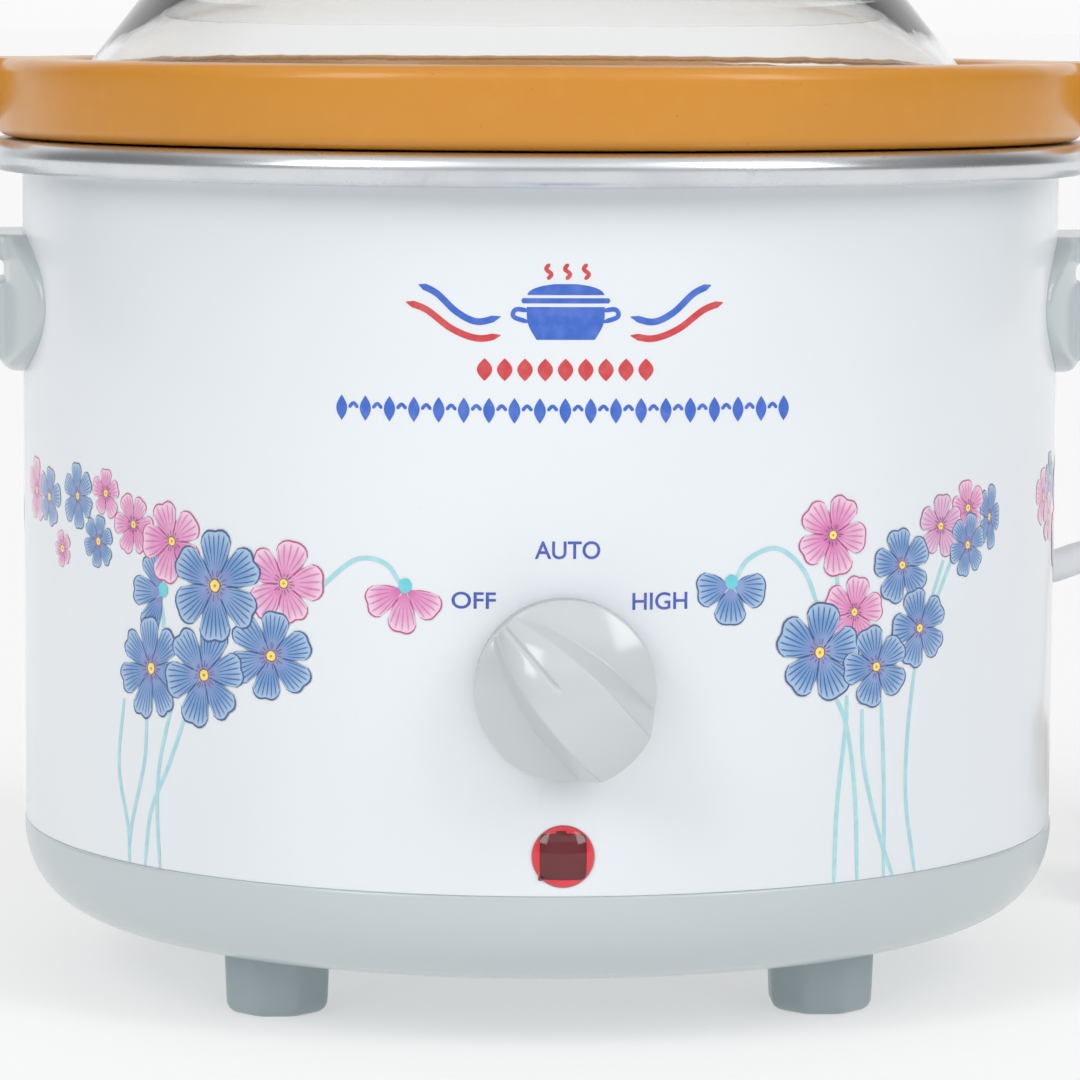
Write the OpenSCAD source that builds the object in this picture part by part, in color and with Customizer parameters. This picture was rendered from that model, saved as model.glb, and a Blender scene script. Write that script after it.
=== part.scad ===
// Round electric slow cooker: enamelled shell, moulded base on four feet, heated well,
// lift-out stoneware crock, loose glass lid, rotary heat control, pilot lamp and mains lead.
// The body's axis is the Z axis, the front is -Y, and the feet stand on Z = 0.
// Azimuths are counted in degrees from the front, towards +X.

/* [Shell] */
// Outer radius of the enamelled shell
shell_r = 110; // [106:0.5:112]
// Thickness of the shell's sheet metal
shell_t = 0.8; // [0.6:0.1:1]
// Height of the rim plane that the crock hangs from
rim_z = 177; // [175:0.5:180]

/* [Base] */
// Height of the joint line between base and shell
base_top_z = 32.7; // [32:0.1:33.5]
// Height of the base's flat underside, which is the length of the feet
foot_h = 13.5; // [12.5:0.1:14.5]
// Wall of the moulded base
base_wall = 2.4; // [2:0.1:2.8]
// Width of a foot across its flats
foot_w = 21.5; // [19:0.5:23]
// Radius at which the feet stand
foot_place_r = 79; // [76:0.5:80]

/* [Heating well] */
// Outer radius of the rolled bead around the top
bead_r = 117.9; // [117:0.1:119]
// Thickness of the well's aluminium sheet
well_t = 1; // [0.8:0.1:1.2]

/* [Crock] */
// Outer radius of the crock's rim band
crock_rim_r = 115.5; // [115:0.1:116]
// Height of the crock's rim band
crock_band_h = 16.2; // [15.5:0.1:17]
// Wall of the stoneware
crock_wall = 7; // [6:0.5:8]
// Reach of the two lifting lugs from the body's axis
lug_reach = 129; // [124:0.5:132]
// Width of a lifting lug
lug_w = 56; // [48:1:60]
// How far the crock is turned in its well, away from the handles
crock_turn = -3; // [-5:0.5:5]

/* [Lid] */
// Outer radius of the glass lid's flange
lid_r = 96.2; // [95:0.1:96.4]
// Thickness of the glass
glass_t = 3.6; // [3:0.1:4]
// How far the loose lid lies from the body's axis, along X
lid_shift = -3.6; // [-3.6:0.1:3.6]
// Height of the dome's crown
dome_top_z = 231; // [226:0.5:234]
// Height of the lid's knob above its seat
lid_knob_h = 24; // [20:0.5:28]

/* [Control] */
// Height of the control knob's axis
knob_z = 74; // [73:0.5:76]
// Radius of the control knob
knob_r = 17.5; // [16.5:0.1:18]
// How far the control knob stands out from the shell
knob_depth = 20.5; // [18:0.5:22]
// Angle of the control knob's pointer at rest, which is OFF, to the left of upright
knob_rest = 43; // [40:1:45]
// Height of the pilot lamp's axis
lamp_z = 40.7; // [40.5:0.1:42]
// Radius of the pilot lamp's lens
lamp_r = 6.15; // [5.8:0.05:6.4]

/* [Handles] */
// Height of the handles' centre
handle_z = 142.5; // [138:0.5:146]
// Width of a handle's pad, where it meets the shell
pad_w = 75; // [70:1:78]
// Height of a handle's pad
pad_h = 29; // [27:0.5:30]
// Reach of the handles from the body's axis
handle_reach = 138; // [134:0.5:142]

/* [Mains lead] */
// Diameter of the mains lead
cord_d = 7.4; // [7.4:0.1:7.5]
// Azimuth at which the lead leaves the shell
cord_azimuth = 123; // [123:0.1:123.1]
// Height at which the lead leaves the shell
cord_z = 75.2; // [75.2:0.1:75.3]

/* [Hidden] */
FEET = ["foot_front_right", "foot_rear_right", "foot_rear_left", "foot_front_left"];
$fn = 96;

// Clearances
hair = 0.05;          // between a shaft and its bore, or a part and its seat
gap = 0.4;            // between bodies that lift apart

// Levels, from the floor up
recess_h = 8;         // depth of the nut's recess under the base
base_round_r = 18;    // width of the base's rounded edge
base_out_r = shell_r + 0.3;
base_flat_r = base_out_r - base_round_r;
base_floor_z = foot_h + base_wall;
lip_h = 2.6;          // locating lip inside the shell
reflector_z = 34;
well_floor_z = 49.5;
well_low_r = 88;      // inner radius of the well's wall above its rounded corner
well_high_r = 97.5;   // inner radius of the well's wall at its top
well_corner = 18;
wall_low_z = well_floor_z + well_corner;
wall_high_z = rim_z - 6;
bead_h = 6.6;
bead_cr = bead_h / 2;
bead_place_r = bead_r - bead_cr;

// Crock and lid
crock_z = 52;
crock_seat_z = rim_z + gap;
crock_top_z = crock_seat_z + crock_band_h;
crock_low_r = 85;
crock_high_r = 94.6;
crock_corner = 18;
ledge_z = crock_top_z - 5.6;
ledge_r = lid_r + 4;
crock_floor = 7.5;
lid_z = ledge_z + gap;
lid_flange_h = 4;
shoulder_r = 78.5;
shoulder_z = lid_z + 21.6;
lid_hole_r = 3.2;

// Control
switch_face = shell_r - 2.2;    // distance from the axis to the switch's mounting face
switch_depth = 13;
switch_w = 28;
shaft_r = 3;
bushing_r = 4.9;
knob_back = shell_r + 1;
knob_front = shell_r + knob_depth;
lamp_hole_r = 5;

// Handles
handle_screw_dy = 9;
handle_screw_z = handle_z - 3.5;
handle_screw_r = 1.9;
handle_out_r = shell_r + 5.3;

// Mains lead, with its boot along the lead's azimuth
boot_len = 28;
boot_root_r = 7.6;
gland_hole_r = 6.6;
boot_tip_r = shell_r + boot_len;
cord_r = cord_d / 2;

// The lead's route from the boot's tip down to its coil, in open air and with no sharp bend
CORD_ROUTE = [
    [115.7, 75.2, 75.2], [120, 78, 75.6], [124, 80.5, 76.2], [129.5, 84, 77.5], [135.5, 87.5, 78.6],
    [142, 91, 79.2], [149, 94.5, 78.4], [156, 97.8, 75.6], [162.3, 100.6, 71], [167.5, 102.7, 65],
    [171.6, 104.3, 58], [174.8, 105.5, 50.5], [177.5, 106.5, 42.5], [180.2, 107.5, 34.5],
    [183.3, 108.6, 26.8], [187.3, 110, 19.5], [192.8, 111.9, 12.9], [199.4, 114.1, 8],
    [205.2, 116, 5.6], [211, 117.6, 4.6]];
// The last turn's end, from the top of the coil to the plug
TAIL_ROUTE = [
    [160, 148, 11.2], [160, 142, 11.6], [160, 136, 11.6], [160, 130, 11], [160, 124, 10.1],
    [160, 118, 9.3], [160, 112, 9]];
coil_x = 200;
coil_y = 160;
coil_mid_r = 40;
coil_base_z = 0.8;
plug_x = 160;
plug_y = 94;
plug_z = 9;
nose_len = 18;

// Inside wiring, from the gland to the terminal block and on to what it feeds
INNER_CORD_ROUTE = [
    [86, 55.8, 75.2], [82.5, 53.6, 74.8], [78.6, 53.8, 71], [79.6, 58.2, 61],
    [81, 61, 50], [80.5, 60, 40], [77, 56, 31], [70, 50, 25], [61, 44, 23], [53, 41, 23]];
LIVE_ROUTE = [
    [24.5, 27.8, 24], [25, 14, 24], [29, -14, 24], [37, -42, 24], [43, -66, 25], [42, -82, 31],
    [36, -90, 40], [27, -95, 46], [17, -98, 48], [11.5, -99.8, 50.5], [10, -100.2, 54.8]];
NEUTRAL_ROUTE = [
    [35.5, 48.2, 24], [35, 60, 25], [34, 74, 28], [34, 84, 36], [34.5, 88, 50], [35, 88.5, 66],
    [35.5, 88.6, 80], [35.8, 88.6, 95.8]];
EARTH_ROUTE = [
    [51.7, 34, 24], [60, 29, 25], [70, 21, 27], [82, 13, 31], [91, 8, 40], [96, 4, 52],
    [98, 0, 60], [96.6, -2.6, 66], [96, -3.3, 71]];
HEATER_ROUTE = [
    [-10, -100.2, 54.8], [-10.5, -100, 51], [-15, -98, 49], [-26, -94, 50], [-44, -86, 52],
    [-62, -74, 55], [-78, -57, 60], [-89, -37, 66], [-95, -14, 73], [-96, 6, 80],
    [-93.5, 22, 87], [-90.5, 30, 92], [-89.8, 32.7, 95.2]];
LAMP_ROUTE = [
    [3, -92.3, 40.7], [4, -89, 42], [4.5, -88, 46.5], [4.4, -91, 50.5], [4.2, -97, 52],
    [4, -100.2, 54.6]];
wire_r = 1.1;

// Colours
GREY = [0.73, 0.77, 0.78];
DARK_GREY = [0.6, 0.65, 0.66];
ENAMEL = [0.92, 0.94, 0.97];
ALUMINIUM = [0.8, 0.81, 0.83];
STEEL = [0.6, 0.6, 0.62];
BRASS = [0.8, 0.65, 0.3];
STONEWARE = [0.82, 0.57, 0.27];

// A part drawn along +Z, turned to point out of the front at a height
module out_of_front(z) translate([0, 0, z]) rotate([90, 0, 0]) children();

// A part drawn along +X, turned to an azimuth at a height
module at_azimuth(a, z = 0) translate([0, 0, z]) rotate([0, 0, a - 90]) children();

// A round bar along +X from one distance to another
module bar_x(x0, x1, r) translate([x0, 0, 0]) rotate([0, 90, 0]) cylinder(h = x1 - x0, r = r);

// A flat outline with straight top and bottom and half-round ends
module stadium(w, h) {
    for (s = [-1, 1]) translate([s * (w - h) / 2, 0]) circle(d = h);
    square([w - h, h], center = true);
}

// A rectangle with round corners, centred
module soft_square(w, h, r) {
    for (x = [-1, 1], y = [-1, 1]) translate([x * (w / 2 - r), y * (h / 2 - r)]) circle(r = r);
    square([w, h - 2 * r], center = true);
    square([w - 2 * r, h], center = true);
}

// Points along a quarter ellipse, from its lowest point to its outermost
function quarter(cx, cz, rx, rz, n = 16) =
    [for (i = [0:n]) [cx + rx * sin(90 * i / n), cz - rz * cos(90 * i / n)]];

// Points along a circular arc in the XZ half-plane
function arc(cx, cz, r, a0, a1, n = 10) =
    [for (i = [0:n]) let (a = a0 + (a1 - a0) * i / n) [cx + r * cos(a), cz + r * sin(a)]];

// The same list from its end to its start
function reversed(v) = [for (i = [len(v) - 1:-1:0]) v[i]];

// Inner radius of the well's straight wall at a height, and its outer radius
function well_in(z) =
    well_low_r + (z - wall_low_z) * (well_high_r - well_low_r) / (wall_high_z - wall_low_z);
function well_out(z) = well_in(z) + well_t;

// A round tube swept along a route of points
function unit(v) = v / norm(v);
function along(p, i) = unit(p[min(i + 1, len(p) - 1)] - p[max(i - 1, 0)]);
function ring(p, i, r, sides, up) =
    let (t = along(p, i), u = unit(cross(t, up)), v = cross(u, t))
    [for (k = [0:sides - 1]) p[i] + r * (cos(360 * k / sides) * u + sin(360 * k / sides) * v)];
module tube(p, r, sides = 8, up = [0, 0, 1]) {
    last = len(p) - 1;
    skin = [for (i = [0:last - 1], k = [0:sides - 1])
        let (a = i * sides + k, b = i * sides + (k + 1) % sides)
        each [[a, b, b + sides], [a, b + sides, a + sides]]];
    start = [[for (k = [sides - 1:-1:0]) k]];
    end = [[for (k = [0:sides - 1]) last * sides + k]];
    polyhedron(points = [for (i = [0:last]) each ring(p, i, r, sides, up)],
        faces = concat(start, skin, end));
}

// A solid hexagon nut along +Z with its bore
module hex_nut(across, h, r) difference() {
    cylinder(h = h, d = across / cos(30), $fn = 6);
    translate([0, 0, -1]) cylinder(h = h + 2, r = r);
}

// A pan-head screw along +Z: its head's top is at z = 0 and its shank runs down
module pan_screw(r, length, head_r, head_h, slot = 0.9) difference() {
    union() {
        translate([0, 0, -head_h]) cylinder(h = head_h, r = head_r);
        translate([0, 0, -head_h - length]) cylinder(h = length, r = r);
    }
    for (a = [0, 90]) rotate([0, 0, a])
        translate([-slot / 2, -head_r * 0.6, -head_h * 0.5]) cube([slot, head_r * 1.2, head_h]);
}

// ---------------------------------------------------------------- housing

// Moulded base with a rounded edge, vents, screw bosses, and a lip inside the shell that is
// notched where the pilot lamp's holder comes down to it
module base_cover() color(GREY) difference() {
    boss_r = 5;
    boss_h = 11;
    union() {
        rotate_extrude() polygon(concat(
            [[0, foot_h + recess_h], [15, foot_h + recess_h], [16, foot_h]],
            quarter(base_flat_r, base_top_z, base_round_r, base_top_z - foot_h),
            [[shell_r - shell_t - hair, base_top_z], [shell_r - shell_t - hair, base_top_z + lip_h],
             [shell_r - shell_t - base_wall, base_top_z + lip_h]],
            reversed(quarter(base_flat_r, base_top_z - 1,
                base_round_r - base_wall - 1, base_top_z - 1 - base_floor_z)),
            [[18.4, base_floor_z], [17.4, base_floor_z + recess_h], [0, base_floor_z + recess_h]]));
        for (a = [45:90:315]) at_azimuth(a, base_floor_z - 0.5)
            translate([foot_place_r, 0, 0]) cylinder(h = boss_h, r = boss_r);
    }
    translate([0, 0, foot_h]) cylinder(h = 20, r = 2.5 + hair);
    for (a = [45:90:315]) at_azimuth(a, foot_h - 1)
        translate([foot_place_r, 0, 0]) cylinder(h = 11, r = 1.6);
    for (a = [15:30:345]) at_azimuth(a, foot_h - 1)
        translate([36, -1.75, 0]) cube([26, 3.5, 2 * base_wall]);
    translate([-9, -shell_r + 0.5, base_top_z]) cube([18, 6, 10]);
}

// Eight-sided foot with a bevelled sole and a deep screw hole
module foot(a) color(DARK_GREY) at_azimuth(a) translate([foot_place_r, 0, 0]) difference() {
    bevel = 2.6;
    intersection() {
        rotate([0, 0, 22.5]) cylinder(h = foot_h, d = foot_w / cos(22.5), $fn = 8);
        union() {
            cylinder(h = bevel, r1 = foot_w / 2 - bevel, r2 = foot_w / 2 + 0.9);
            translate([0, 0, bevel]) cylinder(h = foot_h - bevel, r = foot_w / 2 + 0.9);
        }
    }
    translate([0, 0, -1]) cylinder(h = 7, r = 4.2);
    cylinder(h = 20, r = 1.6 + hair);
}

// Four self-tapping screws, up through the feet into the base's bosses
module foot_screws() color(STEEL) for (a = [45:90:315]) at_azimuth(a, 3.6)
    translate([foot_place_r, 0, 0]) rotate([180, 0, 0]) pan_screw(1.6, 17, 3.4, 2.4);

// Enamelled sheet-metal tube with the holes for what is fixed to it
module outer_shell() color(ENAMEL) difference() {
    translate([0, 0, base_top_z]) difference() {
        cylinder(h = rim_z - well_t - base_top_z, r = shell_r, $fn = 180);
        translate([0, 0, -1]) cylinder(h = 200, r = shell_r - shell_t, $fn = 180);
    }
    out_of_front(knob_z) translate([0, 0, 80]) cylinder(h = 60, r = bushing_r + hair);
    out_of_front(lamp_z) translate([0, 0, 80]) cylinder(h = 60, r = lamp_hole_r);
    at_azimuth(cord_azimuth, cord_z) bar_x(80, 130, gland_hole_r);
    for (s = [-1, 1], y = [-1, 1]) translate([0, y * handle_screw_dy, handle_screw_z])
        scale([s, 1, 1]) bar_x(80, 130, handle_screw_r + hair);
}

// ---------------------------------------------------------------- heating well

// Spun aluminium well: floor, rounded corner, tapered wall, rim flange and hollow rolled bead
module heating_well() color(ALUMINIUM) {
    corner_r = well_low_r - well_corner;
    rotate_extrude($fn = 180) polygon(concat(
        [[0, well_floor_z - well_t]],
        quarter(corner_r, wall_low_z, well_corner + well_t, well_corner + well_t),
        [[well_out(wall_high_z), wall_high_z], [well_high_r + 4, rim_z - well_t]],
        [[bead_place_r, rim_z - well_t]],
        arc(bead_place_r, rim_z - bead_cr, bead_cr - well_t, 80, -80),
        [[shell_r + hair, rim_z - bead_h + well_t], [shell_r + hair, rim_z - bead_h]],
        arc(bead_place_r, rim_z - bead_cr, bead_cr, -90, 90, 16),
        [[well_high_r + 3, rim_z], [well_in(wall_high_z), wall_high_z]],
        reversed(quarter(corner_r, wall_low_z, well_corner, well_corner)),
        [[0, well_floor_z]]));
}

// Dished aluminium plate that throws heat back up
module bottom_reflector() color(ALUMINIUM) difference() {
    r = 82;
    t = 0.8;
    rotate_extrude() polygon([
        [0, reflector_z], [r - 8, reflector_z], [r, reflector_z + 9], [r, reflector_z + 12],
        [r - t, reflector_z + 12], [r - t, reflector_z + 9.4], [r - 8.4, reflector_z + t],
        [0, reflector_z + t]]);
    translate([0, 0, reflector_z - 1]) cylinder(h = 4, r = 2.5 + hair);
}

// Threaded stud welded to the well's floor, which pulls the base up to the well
module centre_stud() color(STEEL) {
    translate([0, 0, foot_h + 1.2]) cylinder(h = well_floor_z - 1 - foot_h - 1.2, r = 2.5);
    translate([0, 0, well_floor_z - well_t - 1.5]) cylinder(h = 1.5, r = 7);
}

// Sleeve on the stud
module sleeve(z0, z1, r) translate([0, 0, z0]) difference() {
    cylinder(h = z1 - z0, r = r);
    translate([0, 0, -1]) cylinder(h = z1 - z0 + 2, r = 2.5 + hair);
}
module stud_spacer_upper() color(STEEL)
    sleeve(reflector_z + 0.8, well_floor_z - well_t - 1.5, 5);
module stud_spacer_lower() color(STEEL) sleeve(base_floor_z + recess_h, reflector_z, 5);
module centre_washer() color(STEEL) sleeve(foot_h + recess_h - 1, foot_h + recess_h, 7);
module centre_nut() color(STEEL)
    translate([0, 0, foot_h + recess_h - 5]) hex_nut(8, 4, 2.5 + hair);

// A conical ring around the well's wall, from one height to another
module wall_ring(z0, z1, off, t) rotate_extrude() polygon([
    [well_out(z0) + off, z0], [well_out(z0) + off + t, z0],
    [well_out(z1) + off + t, z1], [well_out(z1) + off, z1]]);

// Wrap-around heating element, open at the back, with its two terminals
module heater_band() color([0.75, 0.7, 0.6]) {
    difference() {
        wall_ring(92, 150, hair, 2);
        at_azimuth(180, 121) translate([95, 0, 0]) cube([40, 12, 80], center = true);
    }
    for (a = [158, 250]) at_azimuth(a, 96) translate([well_out(96) + 1.5, -3, 0]) cube([5, 6, 7]);
}

// Sprung steel strap that clamps the element, with ears for its screw at the back
module heater_strap() color(STEEL) difference() {
    off = 2 + 2 * hair;
    union() {
        wall_ring(115, 127, off, 0.7);
        for (s = [-1, 1]) at_azimuth(180, 121)
            translate([well_out(121) + off + 3.6, s * 4, 0]) cube([8, 1.2, 11], center = true);
    }
    at_azimuth(180, 121) translate([95, 0, 0]) cube([18.5, 6.6, 20], center = true);
    at_azimuth(180, 121) translate([well_out(121) + off + 4.4, 20, 0]) rotate([90, 0, 0])
        cylinder(h = 40, r = 1.6 + hair);
}
module strap_screw() color(STEEL) at_azimuth(180, 121)
    translate([well_out(121) + 6.5, -7, 0]) rotate([90, 0, 0]) pan_screw(1.6, 15, 2.8, 2);

// Glass-fibre blanket around the element
module insulation_blanket() color([0.9, 0.88, 0.8]) difference() {
    wall_ring(104, 162, 4, 3.6);
    at_azimuth(180, 121) translate([100, 0, 0]) cube([30, 26, 22], center = true);
}

// Disc thermostat pressed against the well's floor, and the strip that holds it
module thermostat() color([0.3, 0.3, 0.3]) translate([-38, 0, 0]) {
    top = well_floor_z - well_t;
    translate([0, 0, top - 5]) cylinder(h = 5, r = 8);
    translate([0, 0, top - 8]) cylinder(h = 3, r = 5);
}
module thermostat_bracket() color(STEEL) difference() {
    z = well_floor_z - well_t - 9;
    union() {
        translate([-50, -4, z]) cube([38, 8, 1]);
        translate([-14, -4, z]) cube([2, 8, 9]);
        translate([-50, -4, z]) cube([2, 8, 9]);
    }
    translate([-38, 0, z - 1]) cylinder(h = 3, r = 2);
}

// Thermal cut-out in its sleeve on the well's wall
module thermal_fuse() color([0.85, 0.85, 0.8]) at_azimuth(-60, 72)
    translate([well_out(86) + 2.6, 0, 0]) cylinder(h = 14, r = 2.2, $fn = 32);

// ---------------------------------------------------------------- handles

// Side handle: a wide pad that hugs the shell, a boss for its screws, a groove for the
// fingertips, and a ledge above them
module handle(s) scale([s, 1, 1]) difference() {
    face_r = 69.5;        // curve of the pad's face, seen from above
    oval_h = 32;          // the oval that the pad's outline is cut from
    edge_r = 4;
    groove_r = 4.5;
    groove_depth = 3.5;
    ledge_h = 5.2;
    ledge_w = 38;
    boss_w = 34;
    boss_h = 16;
    boss_r = handle_out_r + 5.2;
    top_z = handle_z + pad_h / 2;
    union() {
        difference() {
            intersection() {
                translate([0, 0, handle_z + 0.5]) rotate([90, 0, 90]) linear_extrude(140)
                    scale([pad_w / oval_h, 1]) circle(d = oval_h);
                translate([handle_out_r - face_r, 0, handle_z]) rotate_extrude($fn = 180)
                    intersection() {
                        soft_square(2 * face_r, pad_h, edge_r);
                        translate([0, -pad_h]) square([face_r, 2 * pad_h]);
                    }
            }
            translate([handle_out_r - face_r, 0, top_z - ledge_h - groove_depth + 0.8])
                rotate_extrude($fn = 180)
                    translate([face_r + groove_r - groove_depth, 0]) circle(r = groove_r);
        }
        translate([0, 0, top_z - ledge_h]) linear_extrude(ledge_h)
            translate([handle_reach / 2, 0]) soft_square(handle_reach, ledge_w, 10);
        translate([0, boss_w / 2, handle_z - 3.5]) rotate([90, 0, 0]) linear_extrude(boss_w)
            translate([boss_r / 2, 0]) soft_square(boss_r, boss_h, 6);
    }
    cylinder(h = 300, r = shell_r + hair, $fn = 180);
    for (y = [-1, 1]) translate([0, y * handle_screw_dy, handle_screw_z])
        bar_x(100, shell_r + 8.6, handle_screw_r + hair);
}
module handle_left() color(GREY) handle(-1);
module handle_right() color(GREY) handle(1);

// Plate inside the shell that spreads the handle screws' load
module handle_plate(s) scale([s, 1, 1]) difference() {
    translate([106.4, 0, handle_screw_z]) rotate([90, 0, 90]) linear_extrude(1.2)
        soft_square(30, 16, 3);
    for (y = [-1, 1]) translate([0, y * handle_screw_dy, handle_screw_z])
        bar_x(90, 120, handle_screw_r + hair);
}
module handle_plate_left() color(STEEL) handle_plate(-1);
module handle_plate_right() color(STEEL) handle_plate(1);
module handle_screws() color(STEEL)
    for (s = [-1, 1], y = [-1, 1]) translate([0, y * handle_screw_dy, handle_screw_z])
        scale([s, 1, 1])
        translate([104, 0, 0]) rotate([0, -90, 0]) pan_screw(handle_screw_r, 12, 3.4, 2.4);

// ---------------------------------------------------------------- control

// Domed knob with a boat-shaped grip ridge across it, hollow behind, with a flatted bore
module control_knob() color(GREY) out_of_front(knob_z) rotate([0, 0, knob_rest]) difference() {
    skirt_h = 6;
    dome_r = 30;
    ridge_arc = 55;       // radius of the ridge's long sides in plan
    ridge_half = 6.5;     // half of the ridge's width at its widest, towards its blunt end
    ridge_back_r = 26;    // radius of the ridge's back, along its length
    union() {
        translate([0, 0, knob_back]) cylinder(h = skirt_h, r1 = knob_r, r2 = knob_r - 0.4);
        intersection() {
            translate([0, 0, knob_back + skirt_h]) cylinder(h = 20, r = knob_r - 0.4);
            translate([0, 0, knob_back + 11.5 - dome_r]) sphere(r = dome_r);
        }
        intersection() {
            translate([0, 0, knob_back + 1]) cylinder(h = 30, r = knob_r - 0.4);
            translate([0, -3, knob_front - ridge_back_r]) sphere(r = ridge_back_r);
            for (s = [-1, 1]) translate([s * (ridge_arc - ridge_half), -8, knob_back + 1])
                cylinder(h = 30, r = ridge_arc);
        }
    }
    translate([0, 0, knob_back - 1]) difference() {
        cylinder(h = 5.5, r = knob_r - 3);
        translate([0, 0, 3.4]) cylinder(h = 5.5, r = 5.6);
    }
    difference() {
        translate([0, 0, knob_back - 1]) cylinder(h = 14, r = shaft_r);
        translate([-5, shaft_r - 1, knob_back + 2.4]) cube([10, 5, 20]);
    }
}

// Flatted shaft that carries the knob and the switch's cam
module switch_shaft() color(STEEL) out_of_front(knob_z) rotate([0, 0, knob_rest]) difference() {
    union() {
        translate([0, 0, switch_face - 9]) cylinder(h = knob_back + 12 - switch_face + 9, r = shaft_r);
        translate([0, 0, switch_face - 8]) cylinder(h = 4, r = 8);
    }
    translate([-5, shaft_r - 1, knob_back + 2.4]) cube([10, 5, 20]);
}

// Rotary heat switch: a box with its threaded bushing, its cam's chamber and four tabs
module switch_body() color([0.85, 0.83, 0.75]) out_of_front(knob_z) difference() {
    union() {
        translate([-switch_w / 2, -switch_w / 2, switch_face - switch_depth])
            cube([switch_w, switch_w, switch_depth]);
        translate([0, 0, switch_face - 1]) cylinder(h = 5.6, r = bushing_r);
        for (x = [-10, -4, 4, 10]) translate([x - 1.5, -switch_w / 2 - 5, switch_face - 8])
            cube([3, 6, 0.8]);
    }
    translate([0, 0, switch_face - 9.3]) cylinder(h = 20, r = shaft_r + hair);
    translate([0, 0, switch_face - 8.3]) cylinder(h = 4.6, r = 8.4);
}
module switch_nut() color(STEEL) out_of_front(knob_z)
    translate([0, 0, shell_r]) hex_nut(14, 2, bushing_r + hair);

// Pilot lamp: a hollow red lens in the shell, its neon bulb, and the holder behind
module lamp_lens() color([0.85, 0.1, 0.12]) out_of_front(lamp_z) difference() {
    union() {
        translate([0, 0, shell_r]) cylinder(h = 1.2, r = lamp_r);
        translate([0, 0, shell_r + 1.2]) cylinder(h = 0.9, r1 = lamp_r, r2 = lamp_r - 0.8);
        translate([0, 0, shell_r - 10]) cylinder(h = 10.5, r = lamp_hole_r - hair);
    }
    translate([0, 0, shell_r - 11]) cylinder(h = 11, r = lamp_hole_r - 1);
}
module lamp_bulb() color([1, 0.7, 0.4]) out_of_front(lamp_z) {
    translate([0, 0, shell_r - 11.5]) cylinder(h = 8, r = 2.2);
    translate([0, 0, shell_r - 3.5]) sphere(r = 2.2);
}
module lamp_holder() color([0.2, 0.2, 0.2]) out_of_front(lamp_z) difference() {
    translate([0, 0, shell_r - 17]) cylinder(h = 15, r = lamp_hole_r + 1.4);
    translate([0, 0, shell_r - 11.5]) cylinder(h = 14, r = lamp_hole_r);
}

// ---------------------------------------------------------------- wiring

// Three-way terminal block on the base's floor
module terminal_block() color([0.9, 0.9, 0.86]) difference() {
    translate([18, 26, base_floor_z]) union() {
        cube([35, 24, 3]);
        for (i = [0:2]) translate([2 + i * 11, 2, 0]) cube([9, 20, 13]);
    }
    for (i = [0:2], y = [32, 44]) translate([24.5 + i * 11, y, base_floor_z + 7])
        cylinder(h = 10, r = 2);
}

// Earth screw through the well's wall flange, with its tab
module earth_screw() color(BRASS) at_azimuth(88, 70) {
    bar_x(well_out(70) + 0.3, well_out(70) + 3.3, 4);
    bar_x(well_out(70) + 3.3, well_out(70) + 5.3, 2.6);
}
module lead_live() color([0.55, 0.3, 0.15]) tube(LIVE_ROUTE, wire_r);
module lead_neutral() color([0.2, 0.35, 0.75]) tube(NEUTRAL_ROUTE, wire_r, up = [1, 0, 0]);
module lead_earth() color([0.5, 0.7, 0.2]) tube(EARTH_ROUTE, wire_r, up = [0, 1, 0]);
module lead_heater() color([0.9, 0.9, 0.9]) tube(HEATER_ROUTE, wire_r);
module lead_lamp() color([0.7, 0.15, 0.15]) tube(LAMP_ROUTE, wire_r, up = [1, 0, 0]);
module inner_cord() color([0.85, 0.86, 0.87])
    tube(INNER_CORD_ROUTE, cord_r - 0.6, up = [0.5, -0.8, 0]);

// Gland with its tapered boot outside the shell, and the nut that clamps it inside
module strain_relief() color(GREY) at_azimuth(cord_azimuth, cord_z) difference() {
    union() {
        bar_x(shell_r - 7, shell_r + 1, gland_hole_r - hair);
        bar_x(shell_r + 0.4, shell_r + 3, boot_root_r + 1.6);
        translate([shell_r + 2.9, 0, 0]) rotate([0, 90, 0])
            cylinder(h = boot_len - 2.9, r1 = boot_root_r, r2 = cord_r + 1);
    }
    bar_x(shell_r - 8, shell_r + boot_len - 6, cord_r - 0.5);
}
module strain_relief_nut() color(GREY) at_azimuth(cord_azimuth, cord_z) intersection() {
    rotate([0, 90, 0]) translate([0, 0, shell_r - 6]) hex_nut(19, 3.6, gland_hole_r);
    bar_x(90, shell_r - 1.8, 30);
}

// ---------------------------------------------------------------- crock

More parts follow.
